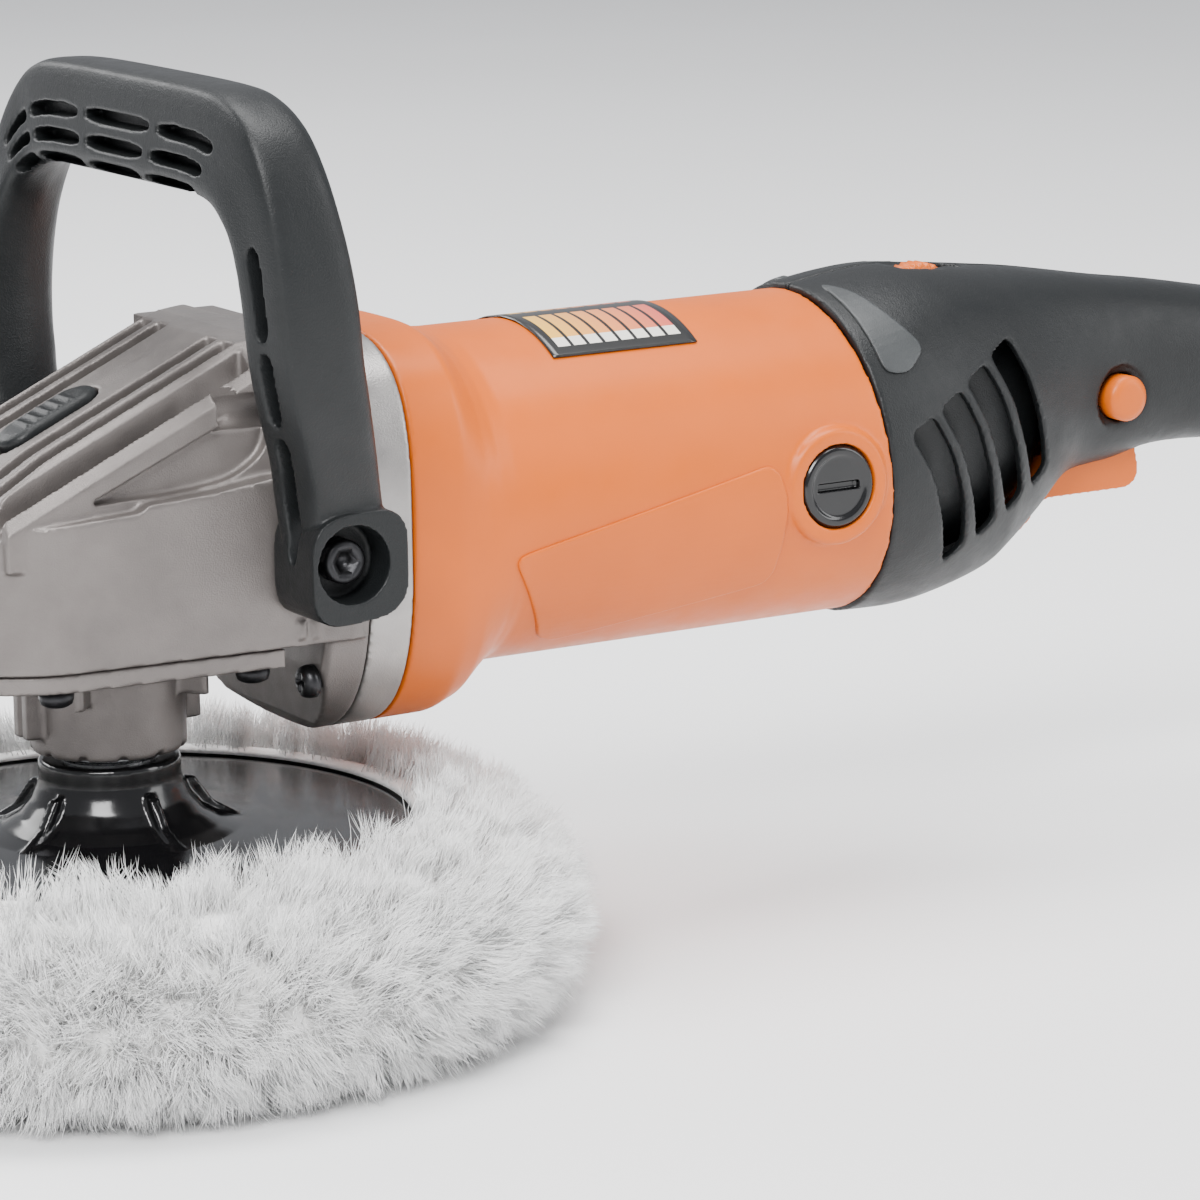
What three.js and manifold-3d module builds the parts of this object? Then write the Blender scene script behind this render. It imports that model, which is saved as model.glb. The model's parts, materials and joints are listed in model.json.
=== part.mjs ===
// Rotary polisher: a seven-inch wool polisher with a front D-handle and an inline rear handle.
// Units are millimetres and +Z is up. The origin is the centre of the pad's working face, on the
// spindle axis. +X runs to the rear handle, and -Y is the side of the lock-on button.

import * as THREE from 'three';
import { mergeVertices } from 'three/addons/utils/BufferGeometryUtils.js';
import Module from 'manifold-3d';

const wasm = await Module();
wasm.setup();

// ---------------------------------------------------------------- driving dimensions

const GAP = 0.3;              // clearance between neighbouring pieces
const MOTOR_Z = 114.5;        // height of the motor axis above the pad's face
const COLLAR_Z = 64;          // bottom of the collar round the spindle

const PLATE = { radius: 89, top: 44, bottom: 38, hubTop: 62, hubRadius: 17 };
const BONNET = { radius: 115, lipRadius: 72, lipTop: 47.5, floor: 8 };

const BEVEL = { crownTeeth: 35, pinionTeeth: 9, module: 1.657, face: 9, pressure: 25, shift: 0.3 };
const LOCK = { x: -15, middle: -13, pinRadius: 2.6, holeRadius: 3.4, pinBottom: 110 };

const CASE = { nose: -54, ledgeRear: 132, bottom: 91.7, side: 42 };   // gear housing
const SLOPE = 0.46;                                                   // rise of the finned top
const SLOPE_ANGLE = THREE.MathUtils.radToDeg(Math.atan(SLOPE));
const CREST = { x: -36, z: 134, radius: 57 };                         // its start and its crown
const FLANGE = { front: 38.3, split: 49.5, rear: 61 };                // grey flange and its plate
const BARREL = { radius: 41.6, bore: 38.2, seam: 197.7, tilt: 0.1024 };
const BRUSH = { x: 180.9, z: 113, bossRadius: 14.8, capRadius: 10.4, face: 42.8 };
const GRIP = { wall: 2.8, end: 392 };                                 // rear handle

const BOLT = { x: 34.1, z: 114.2, floor: 53 };                        // D-handle bolts
const LUG = { front: 23.4, rear: 48.4, low: 99.3, high: 127, inner: 42.6, outer: 62.5 };

const COVER_SCREWS = [[-27, -30], [-27, 30], [22, -33], [22, 33]];
const FLANGE_SCREWS = [[-33, 81], [33, 81], [-31, 148], [31, 148]];
const GRIP_SCREWS = [[216, 90], [250, 144], [314, 118], [352, 124]];

const TRIGGER = { front: 258.5, rear: 300.5, half: 6, x: 261.5, z: 100 };
const DIAL = { x: 233, z: 148.6, radius: 11, half: 3.5 };
const BUTTON = { x: 287, z: 121, radius: 6 };
const INLET = { z: 116, bore: 4.2 };

const PAINT = {
  cast: { color: 0x8a817d, roughness: 0.5, metalness: 0.55 },
  orange: { color: 0xf26a1f, roughness: 0.45, metalness: 0 },
  black: { color: 0x2b2e2f, roughness: 0.6, metalness: 0 },
  gloss: { color: 0x141414, roughness: 0.25, metalness: 0 },
  steel: { color: 0xb9bcc0, roughness: 0.3, metalness: 1 },
  screw: { color: 0x1b1b1c, roughness: 0.35, metalness: 0.9 },
  iron: { color: 0x6f7276, roughness: 0.5, metalness: 0.9 },
  copper: { color: 0xb4652f, roughness: 0.4, metalness: 0.9 },
  brass: { color: 0xc6a04a, roughness: 0.35, metalness: 1 },
  carbon: { color: 0x242424, roughness: 0.7, metalness: 0.1 },
  wool: { color: 0xf3f2ee, roughness: 1, metalness: 0 },
  foam: { color: 0x3b3f44, roughness: 0.95, metalness: 0 },
  paper: { color: 0xf1c24b, roughness: 0.5, metalness: 0 },
};

// ---------------------------------------------------------------- solids

function solid(geometry) {
  geometry.deleteAttribute('normal');
  geometry.deleteAttribute('uv');
  const merged = mergeVertices(geometry, 1e-4);
  return new wasm.Manifold(new wasm.Mesh({
    numProp: 3,
    vertProperties: new Float32Array(merged.attributes.position.array),
    triVerts: new Uint32Array(merged.index.array),
  }));
}

function cut(body, ...tools) {
  return tools.reduce((rest, tool) => rest.subtract(tool), body);
}

function join(body, ...others) {
  return others.reduce((sum, other) => sum.add(other), body);
}

function box([x0, x1], [y0, y1], [z0, z1]) {
  const geometry = new THREE.BoxGeometry(x1 - x0, y1 - y0, z1 - z0);
  geometry.translate((x0 + x1) / 2, (y0 + y1) / 2, (z0 + z1) / 2);
  return solid(geometry);
}

// A cylinder, or a cone when the second radius differs, from one point to another.
function rod(radius, from, to, sides = 16, endRadius = radius) {
  const a = new THREE.Vector3(...from);
  const b = new THREE.Vector3(...to);
  const along = b.clone().sub(a);
  const geometry = new THREE.CylinderGeometry(endRadius, radius, along.length(), sides);
  geometry.applyQuaternion(new THREE.Quaternion().setFromUnitVectors(
    new THREE.Vector3(0, 1, 0), along.normalize()));
  geometry.translate((a.x + b.x) / 2, (a.y + b.y) / 2, (a.z + b.z) / 2);
  return solid(geometry);
}

// A profile of [radius, height] points turned about Z.
function turned(profile, sides = 24) {
  const geometry = new THREE.LatheGeometry(profile.map(([r, h]) => new THREE.Vector2(r, h)), sides);
  return solid(geometry.rotateX(Math.PI / 2));
}

// A ring of rectangular section turned about Z.
function ring(inner, outer, low, high, sides = 24) {
  return turned([[inner, low], [outer, low], [outer, high], [inner, high], [inner, low]], sides);
}

// An outline extruded along the named axis; its points are the other two coordinates in order.
function prism(axis, points, from, to) {
  const shape = new THREE.Shape(points.map(([u, v]) => new THREE.Vector2(u, v)));
  const geometry = new THREE.ExtrudeGeometry(shape, { depth: to - from, bevelEnabled: false });
  const X = new THREE.Vector3(1, 0, 0);
  const Y = new THREE.Vector3(0, 1, 0);
  const Z = new THREE.Vector3(0, 0, 1);
  const turns = { x: [Y, Z, X], y: [X, Z, Y.clone().negate()], z: [X, Y, Z] };
  geometry.applyMatrix4(new THREE.Matrix4().makeBasis(...turns[axis]));
  const shift = axis === 'y' ? to : from;
  geometry.translate(...[X, Y, Z][['x', 'y', 'z'].indexOf(axis)].multiplyScalar(shift).toArray());
  return solid(geometry);
}

// A skin through rings of points, closed at both ends by a fan about each ring's centre, or about
// the points given.
function loft(rings, centres = []) {
  const sides = rings[0].length;
  const vertices = rings.flat().flatMap((p) => p.toArray());
  const index = [];
  for (let k = 0; k + 1 < rings.length; k++) {
    for (let i = 0; i < sides; i++) {
      const [a, b] = [k * sides + i, k * sides + (i + 1) % sides];
      index.push(a, b, b + sides, a, b + sides, a + sides);
    }
  }
  for (const [k, flip] of [[0, true], [rings.length - 1, false]]) {
    const middle = new THREE.Vector3();
    rings[k].forEach((p) => middle.addScaledVector(p, 1 / sides));
    if (centres.length) middle.copy(flip ? centres[0] : centres[1]);
    const hub = vertices.push(...middle.toArray()) / 3 - 1;
    for (let i = 0; i < sides; i++) {
      const [a, b] = [k * sides + i, k * sides + (i + 1) % sides];
      index.push(...(flip ? [hub, b, a] : [hub, a, b]));
    }
  }
  const geometry = new THREE.BufferGeometry();
  geometry.setAttribute('position', new THREE.Float32BufferAttribute(vertices, 3));
  geometry.setIndex(index);
  return solid(geometry);
}

// A squared oval across X. up and down are its heights above and below z; square is 2 for an
// ellipse and larger for a boxier outline.
function oval({ x, half, up, down, z = MOTOR_Z, square = 2, squareDown = square }, sides = 32) {
  const points = [];
  for (let i = 0; i < sides; i++) {
    const [c, s] = [Math.cos(2 * Math.PI * i / sides), Math.sin(2 * Math.PI * i / sides)];
    const power = 2 / (s < 0 ? squareDown : square);
    const y = half * Math.sign(c) * Math.abs(c) ** power;
    const height = (s < 0 ? down : up) * Math.sign(s) * Math.abs(s) ** power;
    points.push(new THREE.Vector3(x, y, z + height));
  }
  return points;
}

// A wire of round section wound about Z.
function coil({ radius, wire, low, high, turns, steps = 8, sides = 5 }) {
  class Helix extends THREE.Curve {
    getPoint(t) {
      const turn = 2 * Math.PI * turns * t;
      return new THREE.Vector3(radius * Math.cos(turn), radius * Math.sin(turn), low + (high - low) * t);
    }
  }
  const section = new THREE.Shape().absarc(0, 0, wire / 2, 0, 2 * Math.PI);
  const outline = new THREE.Shape(section.getSpacedPoints(sides).slice(0, sides));
  return solid(new THREE.ExtrudeGeometry(outline, { steps: turns * steps, extrudePath: new Helix() }));
}

function mirrorY(body) {
  return body.mirror([0, 1, 0]);
}

// Turns a body modelled about Z so that its height runs along X at the motor axis.
function alongMotor(body) {
  return body.rotate([0, 90, 0]).translate([0, 0, MOTOR_Z]);
}

// ---------------------------------------------------------------- scene graph

const polisher = new THREE.Group();

// A group inside the polisher, moved and turned as its place says.
function lineGroup(position, rotation = [0, 0, 0]) {
  const group = new THREE.Group();
  group.position.set(...position);
  group.rotation.set(...rotation);
  polisher.add(group);
  return group;
}

const LINE_TURN = [0, Math.PI / 2, 0];                 // turns a piece's own Z along X
const motorLine = lineGroup([0, 0, MOTOR_Z], LINE_TURN);
const spindleLine = lineGroup([0, 0, 0]);
const lockLine = lineGroup([LOCK.middle, 0, CREST.z + SLOPE * (LOCK.middle - CREST.x)],
  [0, -Math.atan(SLOPE), 0]);

function add(name, body, paint, { group = polisher, at = [0, 0, 0], turn = [0, 0, 0] } = {}) {
  const data = body.getMesh();
  const geometry = new THREE.BufferGeometry();
  geometry.setAttribute('position', new THREE.BufferAttribute(data.vertProperties.slice(), 3));
  geometry.setIndex(new THREE.BufferAttribute(data.triVerts.slice(), 1));
  geometry.computeVertexNormals();
  const mesh = new THREE.Mesh(geometry, new THREE.MeshStandardMaterial(PAINT[paint]));
  mesh.name = name;
  mesh.position.set(...at);
  mesh.rotation.set(...turn);
  group.add(mesh);
}

// ---------------------------------------------------------------- bevel gears

const RATIO_ANGLE = Math.atan(BEVEL.pinionTeeth / BEVEL.crownTeeth);   // the pinion's pitch cone

// Half the angle that a tooth takes up at a height above the pitch line, in the developed back
// cone. The pinion's flanks are involutes and the crown's are straight.
function flankAngle(height, teeth, pitchRadius, isCrown) {
  const { module: m, pressure, shift } = BEVEL;
  const alpha = THREE.MathUtils.degToRad(pressure);
  const backlash = 0.16 * m;
  const sign = isCrown ? -1 : 1;
  const thickness = m * (Math.PI / 2 + sign * 2 * shift * Math.tan(alpha)) - backlash;
  const half = thickness / 2 / pitchRadius;
  if (isCrown) return half - height * Math.tan(alpha) / pitchRadius;
  const base = pitchRadius * Math.cos(alpha);
  const roll = (r) => {
    const tilt = Math.acos(Math.min(1, base / r));
    return Math.tan(tilt) - tilt;
  };
  return half + roll(pitchRadius) - roll(Math.max(base, pitchRadius + height));
}

// The closed toothed rim of a bevel gear about Z with its apex at the origin, teeth pointing
// down the axis towards -Z for the pinion's sign and up to the apex for the crown.
function bevelRim(teeth, cone, heights, isCrown, back, front) {
  const { module: m, crownTeeth, pinionTeeth, face } = BEVEL;
  const pitchRadius = m * teeth / 2;
  const coneLength = m * Math.hypot(crownTeeth, pinionTeeth) / 2;
  const developed = pitchRadius / Math.cos(cone);
  const outer = [];
  for (let tooth = 0; tooth < teeth; tooth++) {
    const sides = [...heights.map((h) => [h, -1]), ...[...heights].reverse().map((h) => [h, 1])];
    for (const [h, side] of sides) {
      const spread = flankAngle(h, teeth, developed, isCrown) / Math.cos(cone);
      const turn = 2 * Math.PI * tooth / teeth + side * spread;
      const radius = pitchRadius + h * Math.cos(cone);
      const depth = pitchRadius / Math.tan(cone) - h * Math.sin(cone);
      outer.push(new THREE.Vector3(radius * Math.cos(turn), radius * Math.sin(turn), -depth));
    }
  }
  const scale = (coneLength - face) / coneLength;
  return loft([outer, outer.map((p) => p.clone().multiplyScalar(scale))],
    [new THREE.Vector3(0, 0, back), new THREE.Vector3(0, 0, front)]);
}

function crownGear() {
  const { module: m, shift } = BEVEL;
  const heights = [-(1.2 + shift) * m, (0.95 - shift) * m];
  const rim = bevelRim(BEVEL.crownTeeth, Math.PI / 2 - RATIO_ANGLE, heights, true, -20.5, -6.5);
  const body = join(rim.translate([0, 0, MOTOR_Z]), rod(12.5, [0, 0, 81], [0, 0, 99], 12));
  const holes = around(4, (turn) => rod(LOCK.holeRadius, [LOCK.x, 0, 104], [LOCK.x, 0, 113], 8)
    .rotate([0, 0, turn]));
  return cut(body, rod(7.8, [0, 0, 70], [0, 0, 120], 16), ...holes);
}

function pinionGear() {
  const { module: m, shift } = BEVEL;
  const heights = [-(1.15 - shift) * m, -0.1 * m, 0.55 * m, (0.95 + shift) * m];
  const rim = bevelRim(BEVEL.pinionTeeth, RATIO_ANGLE, heights, false, -29, -20.3);
  const halfTooth = 180 / BEVEL.pinionTeeth;
  const turnedUp = rim.rotate([180, 0, 0]).rotate([0, 0, halfTooth]);
  const hub = rod(5.4, [0, 0, 28.5], [0, 0, 33.2], 12);
  return cut(join(turnedUp, hub), rod(4.25, [0, 0, 10], [0, 0, 40], 12));
}

// ---------------------------------------------------------------- gear head

function crestAt(x) {
  return CREST.z + SLOPE * (x - CREST.x);
}

// The plan of the gear case: straight sides that close in to a blunt nose.
function casePlan(inset, rear) {
  const half = [[rear, CASE.side], [FLANGE.front, CASE.side], [-32, 37], [-47, 27], [CASE.nose, 12]];
  const shrunk = half.map(([x, y]) => [Math.min(rear, Math.max(x, CASE.nose + inset)), y - inset]);
  return [...shrunk, ...[...shrunk].reverse().map(([x, y]) => [x, -y])].reverse();
}

function caseLower() {
  const side = [[CASE.nose, CASE.bottom], [FLANGE.split, CASE.bottom], [FLANGE.split, CASE.ledgeRear],
    [24, CASE.ledgeRear], [8, 129.6], [-7, 128.7], [-10, 127], [-34, 125.5], [CASE.nose, 117]];
  return prism('y', side, -CASE.side, CASE.side).intersect(
    prism('z', casePlan(0, FLANGE.split), CASE.bottom - 1, 140));
}

// The finned top: a sloping crown on steep sides.
function caseUpper() {
  const profile = [[-41, 118], [FLANGE.split - 1, 118], [FLANGE.split - 1, 161], [38, 162], [29, 163.5],
    [CREST.x, crestAt(CREST.x)], [-39, 130]];
  const high = [60, 0, crestAt(60) - CREST.radius];
  const low = [-70, 0, crestAt(-70) - CREST.radius];
  const crown = rod(CREST.radius, low, high, 40);
  return prism('y', profile, -35, 35).intersect(join(crown, box([26, 60], [-35, 35], [90, 161])));
}

// Grooves that run up the slope and leave the fins between them.
function finGrooves() {
  return [13, 21, 29].flatMap((y) => {
    const drop = CREST.radius - Math.sqrt(CREST.radius ** 2 - y ** 2);
    const groove = onSlope(box([-60, 0], [y - 2.3, y + 2.3], [-4.6, 12]), 27).translate([0, 0, -drop]);
    return [groove, mirrorY(groove)];
  });
}

// The hollow side under the outermost fin.
function sideScoops() {
  const wedge = [[-11, 128.6], [8, 131], [26, 133], [26, 144.5]];
  const scoop = prism('y', wedge, 32.4, 40);
  return [scoop, mirrorY(scoop)];
}

// Puts a body modelled about the origin on the crest, square to its slope.
function onSlope(body, x) {
  return body.rotate([0, -SLOPE_ANGLE, 0]).translate([x, 0, crestAt(x)]);
}

// A round-ended block square to the slope: its span along the slope and its offsets from the crest.
function lockBlock(half, [front, rear], [low, high]) {
  return onSlope(join(box([front + half, rear - half], [-half, half], [low, high]),
    rod(half, [front + half, 0, low], [front + half, 0, high]),
    rod(half, [rear - half, 0, low], [rear - half, 0, high])), LOCK.middle);
}

function flangeSlab(from, to) {
  const shape = { half: 42, up: 46.5, down: 51, square: 3.3, squareDown: 2.7 };
  return loft([oval({ x: from, ...shape }), oval({ x: to, ...shape })]);
}

function gearHousing() {
  const foot = prism('y', [[FLANGE.front, 84], [43, 68], [FLANGE.split, 62], [FLANGE.split, 170],
    [FLANGE.front, 170]], -60, 60);
  const outside = join(cut(join(caseLower(), caseUpper()), ...finGrooves(), ...sideScoops()),
    flangeSlab(FLANGE.front, FLANGE.split).intersect(foot));
  const gearRoom = turned([[0, 80], [31.5, 80], [31.5, 113], [14, 121], [0, 121]], 28);
  const tunnel = rod(22, [12, 0, MOTOR_Z], [60, 0, MOTOR_Z], 24);
  const screwWells = FLANGE_SCREWS.slice(2).map(([y, z]) => rod(5, [14, y, z], [FLANGE.front, y, z]));
  return cut(outside, gearRoom, tunnel, ...screwWells,
    rod(7.3, [0, 0, 115], [0, 0, 130.5]),
    lockBlock(6.2, [-16.2, 14], [-8.2, 20]),
    rod(2.9, [LOCK.x, 0, 112], [LOCK.x, 0, 145], 16),
    ...COVER_SCREWS.map(([x, y]) => rod(2.3, [x, y, 80], [x, y, 105], 12)),
    ...FLANGE_SCREWS.map(([y, z]) => rod(2.3, [30, y, z], [60, y, z], 12)),
    ...[-1, 1].map((side) => rod(4.3, [BOLT.x, 33 * side, BOLT.z], [BOLT.x, 60 * side, BOLT.z])));
}

function bearingBox() {
  const plate = prism('z', casePlan(1.5, 27), 87, CASE.bottom - GAP);
  const collar = rod(18.65, [0, 0, COLLAR_Z], [0, 0, 89], 32);
  const lug = cut(box([15, 22.8], [-3.6, 3.6], [68.5, 88]), box([21.4, 25], [-1, 1], [60, 80]));
  return cut(join(plate, collar, lug, lug.mirror([1, 0, 0])),
    rod(11.3, [0, 0, 60], [0, 0, 70], 20), rod(16.3, [0, 0, 68], [0, 0, 95], 24),
    ...COVER_SCREWS.map(([x, y]) => rod(2.3, [x, y, 80], [x, y, 95], 12)));
}

function bearingPlate() {
  const nose = rod(21.6, [36, 0, MOTOR_Z], [55, 0, MOTOR_Z], 24);
  const seat = rod(16.3, [50.2, 0, MOTOR_Z], [70, 0, MOTOR_Z], 24);
  return cut(join(flangeSlab(FLANGE.split + GAP, FLANGE.rear), nose), seat,
    rod(8, [30, 0, MOTOR_Z], [60, 0, MOTOR_Z]),
    ...FLANGE_SCREWS.map(([y, z]) => rod(2.3, [40, y, z], [70, y, z], 12)));
}

// ---------------------------------------------------------------- motor housing

// The slanted seam plane, as everything in front of it or behind it.
function seamSide(behind, offset = 0) {
  const [low, high] = [40, 190];
  const edge = (z) => BARREL.seam + offset - (z - MOTOR_Z) * BARREL.tilt;
  const far = behind ? 420 : 0;
  const corners = [[edge(low), low], [far, low], [far, high], [edge(high), high]];
  return prism('y', behind ? corners : corners.reverse(), -80, 80);
}

function motorHousing() {
  const square = { square: 3.3, squareDown: 2.7 };
  const round = BARREL.radius;
  const outside = loft([
    { x: FLANGE.rear + GAP, half: 42, up: 46.5, down: 51, ...square },
    { x: 75, half: 42, up: 46, down: 50.8, ...square },
    { x: 81, half: round, up: 43.2, down: 49.8, square: 2.6, squareDown: 2.6 },
    { x: 86, half: round, up: round, down: 46.5, square: 2.1, squareDown: 2.3 },
    { x: 93, half: round, up: round, down: round },
    { x: 206, half: round, up: round, down: round },
  ].map((section) => oval(section)));
  const boss = rod(BRUSH.bossRadius, [BRUSH.x, 33, BRUSH.z], [BRUSH.x, BRUSH.face, BRUSH.z], 24);
  const capWell = rod(BRUSH.capRadius + GAP, [BRUSH.x, 28, BRUSH.z], [BRUSH.x, 60, BRUSH.z], 24);
  const bore = rod(BARREL.bore, [50, 0, MOTOR_Z], [230, 0, MOTOR_Z], 28);
  const shell = cut(join(outside, boss, mirrorY(boss)), bore, capWell, mirrorY(capWell),
    ...FLANGE_SCREWS.map(([y, z]) => rod(2.3, [55, y, z], [76, y, z], 12)));
  const seat = alongMotor(ring(11.4, 14.5, 190, 207, 20));
  const arm = cut(box([190, 194], [-4, 4], [MOTOR_Z - 39.5, MOTOR_Z + 39.5]),
    rod(13, [180, 0, MOTOR_Z], [200, 0, MOTOR_Z]));
  return join(shell.intersect(seamSide(false)), seat, arm);
}

function motorParts() {
  const onLine = { group: motorLine };
  const shaft = [[0, 18.5], [4, 18.5], [4, 33.5], [5.2, 33.5], [5.2, 49.9], [6, 49.9], [6, 190],
    [5, 190], [5, 198.8], [4, 198.8], [4, 207], [0, 207]];
  const copper = [[6.4, 170], [15, 170], [15, 172.5], [13.2, 172.5], [13.2, 189], [6.4, 189], [6.4, 170]];
  add('armature_shaft', turned(shaft, 16), 'steel', onLine);
  add('pinion_gear', pinionGear(), 'steel', onLine);
  add('cooling_fan', coolingFan(), 'black', onLine);
  add('armature_core', armatureCore(), 'iron', onLine);
  add('armature_windings', armatureWindings(), 'copper', onLine);
  add('commutator', turned(copper), 'copper', onLine);
  add('armature_front_bearing', ring(6.25, 15.9, 50.5, 60.3), 'steel', onLine);
  add('armature_rear_bearing', ring(4.25, 11, 199.1, 206, 20), 'steel', onLine);
  add('fan_baffle', ring(24, 37.7, 82.2, 84.2, 28), 'black', onLine);
  add('stator_core', statorCore(), 'iron', onLine);
  add('field_coil_upper', fieldCoil(), 'copper', onLine);
  add('field_coil_lower', fieldCoil(), 'copper', { group: motorLine, turn: [0, 0, Math.PI] });
}

function around(count, build) {
  return Array.from({ length: count }, (_, i) => build(360 * i / count));
}

function coolingFan() {
  const disc = ring(6.4, 35, 67, 68.8, 28);
  const hub = ring(6.4, 10, 68, 79, 14);
  const blades = around(10, (turn) => box([9.5, 34.5], [-0.7, 0.7], [68, 78.5]).rotate([0, 0, turn]));
  return join(disc, hub, ...blades);
}

const CORE = { front: 98, rear: 148, slots: 8 };

function armatureCore() {
  const slots = around(CORE.slots, (turn) => box([12.5, 24], [-2.2, 2.2], [90, 160])
    .rotate([0, 0, turn]));
  return cut(ring(6.4, 20.5, CORE.front, CORE.rear, 24), ...slots);
}

function armatureWindings() {
  const front = turned([[8, 87], [16, 87], [19, 90], [19, CORE.front - GAP], [8, CORE.front - GAP],
    [8, 87]], 16);
  const rear = turned([[8, CORE.rear + GAP], [19, CORE.rear + GAP], [19, 158], [15, 163], [8, 163],
    [8, CORE.rear + GAP]], 16);
  const bars = around(CORE.slots, (turn) => box([12.8, 18.6], [-1.9, 1.9], [92, 154])
    .rotate([0, 0, turn]));
  return join(front, rear, ...bars);
}

function statorCore() {
  const yoke = ring(21.2, 37.7, CORE.front, CORE.rear, 28);
  const quarter = [-1, 1].flatMap((y) => [-1, 1].map((x) => [x, y]));
  const span = (low, high, side) => [low * side, high * side].sort((a, b) => a - b);
  return cut(yoke, ...[-1, 1].map((side) => box([-14, 14], span(15, 31, side), [90, 160])),
    ...quarter.map(([x, y]) => box(span(20.5, 26.5, x), span(12.5, 21, y), [90, 160])));
}

// A field coil round one pole: its long sides lie in the stator's slots.
function fieldCoil() {
  return cut(box([-26.2, -20.8], [-20.7, 20.7], [92, 154]),
    box([-30, -10], [-12.8, 12.8], [CORE.front - GAP, CORE.rear + GAP]));
}

// Everything of one carbon brush, modelled outward along Y and turned about for the left side.
function brushGear() {
  const holder = cut(box([-6, 6], [15.5, 37.9], [-7.5, 7.5]), box([-3.7, 3.7], [10, 50], [-5.2, 5.2]));
  const spring = coil({ radius: 2.7, wire: 0.9, low: 27.9, high: 37, turns: 4, steps: 6, sides: 4 });
  const cap = cut(rod(BRUSH.capRadius, [0, 38.2, 0], [0, BRUSH.face, 0], 28),
    box([-4.5, 4.5], [41.2, 50], [-0.8, 0.8]));
  for (const [turn, name] of [[Math.PI, 'left'], [0, 'right']]) {
    const inGroup = { group: lineGroup([BRUSH.x, 0, BRUSH.z], [0, 0, turn]) };
    add(`brush_holder_${name}`, holder, 'brass', inGroup);
    add(`carbon_brush_${name}`, box([-3.4, 3.4], [13.8, 27], [-4.9, 4.9]), 'carbon', inGroup);
    add(`brush_spring_${name}`, spring, 'steel', { ...inGroup, turn: [-Math.PI / 2, 0, 0] });
    add(`brush_cap_${name}`, cap, 'gloss', inGroup);
  }
}

// ---------------------------------------------------------------- D-handle

// The loop from its lug to the middle of the bar: the outer and inner outline as [y, z] points, the x
// of the front and rear faces on the left, and how much further forward the right arm is there.
const LOOP_STATIONS = [
  { outer: [59.5, 108], inner: [44.5, 108], front: 24.5, rear: 46.5, forward: 0 },
  { outer: [60.3, 118], inner: [45, 118], front: 23.5, rear: 45.5, forward: 4 },
  { outer: [61.5, 128], inner: [46, 128], front: 21.5, rear: 43.5, forward: 13 },
  { outer: [65.5, 139], inner: [50.5, 139], front: 18, rear: 40.3, forward: 20.5 },
  { outer: [69.3, 151], inner: [54.3, 151], front: 13.5, rear: 37, forward: 17.5 },
  { outer: [71.4, 163], inner: [56.4, 162], front: 10.5, rear: 34.4, forward: 14.2 },
  { outer: [72.2, 175], inner: [57.2, 173], front: 9, rear: 33, forward: 11.5 },
  { outer: [71.9, 187], inner: [56.8, 182.5], front: 8, rear: 31.2, forward: 8 },
  { outer: [70.4, 198.5], inner: [55, 190], front: 7.2, rear: 29.2, forward: 4 },
  { outer: [67, 208.5], inner: [51, 195], front: 6.6, rear: 27.8, forward: 1.5 },
  { outer: [61, 216.5], inner: [45.5, 197.8], front: 6.4, rear: 27, forward: 0 },
  { outer: [51.5, 221.6], inner: [36, 199], front: 6.3, rear: 26.6, forward: 0 },
  { outer: [38, 223.6], inner: [24, 199.2], front: 6.2, rear: 26.4, forward: 0 },
  { outer: [0, 224], inner: [0, 199.3], front: 6, rear: 26.2, forward: 0 },
];

// The section of the loop, as [front to rear, outer to inner] fractions: flat in front and outside,
// and round where the palm lies.
const LOOP_SECTION = [[0.24, 0.02], [0.55, 0], [0.86, 0.03], [1, 0.17], [0.98, 0.42], [0.84, 0.74],
  [0.55, 0.95], [0.3, 1], [0.1, 0.98], [0, 0.86], [0.06, 0.5], [0.14, 0.13]];

function loopRing({ outer, inner, front, rear, forward }, side) {
  const shift = side > 0 ? forward : 0;
  return LOOP_SECTION.map(([depth, across]) => new THREE.Vector3(
    THREE.MathUtils.lerp(front, rear, depth) - shift,
    side * THREE.MathUtils.lerp(outer[0], inner[0], across),
    THREE.MathUtils.lerp(outer[1], inner[1], across)));
}

function frameLoop() {
  const near = LOOP_STATIONS.map((station) => loopRing(station, -1));
  const far = LOOP_STATIONS.slice(0, -1).reverse().map((station) => loopRing(station, 1));
  return loft([...near, ...far]);
}

function dHandle() {
  const { front, rear, low, high, inner, outer } = LUG;
  const outline = new THREE.Shape();
  outline.absarc(front + 6, low + 6, 6, Math.PI, 1.5 * Math.PI);
  outline.absarc(rear - 7, low + 8, 7, 1.5 * Math.PI, 2 * Math.PI);
  outline.absarc(rear - 7, high - 7, 7, 0, Math.PI / 2);
  outline.absarc(front + 5, high - 6, 5, Math.PI / 2, Math.PI);
  const points = outline.getPoints(3).map((p) => [p.x, p.y]);
  const lug = prism('y', points, inner, outer);
  const recess = rod(9.2, [BOLT.x, BOLT.floor, BOLT.z], [BOLT.x, 80, BOLT.z], 20);
  const hole = rod(4.3, [BOLT.x, 40, BOLT.z], [BOLT.x, 60, BOLT.z], 12);
  return cut(join(frameLoop(), lug, mirrorY(lug)), recess, hole, mirrorY(recess), mirrorY(hole));
}

// A socket-head bolt along Y, its head's seat at the origin.
function socketBolt() {
  const head = rod(5.2, [0, GAP, 0], [0, 5.3, 0]);
  const socket = rod(2.9, [0, 2, 0], [0, 9, 0], 6);
  const shank = rod(3.95, [0, -19.5, 0], [0, 1, 0], 12);
  return cut(join(head, shank), socket);
}

// ---------------------------------------------------------------- rear handle

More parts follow.
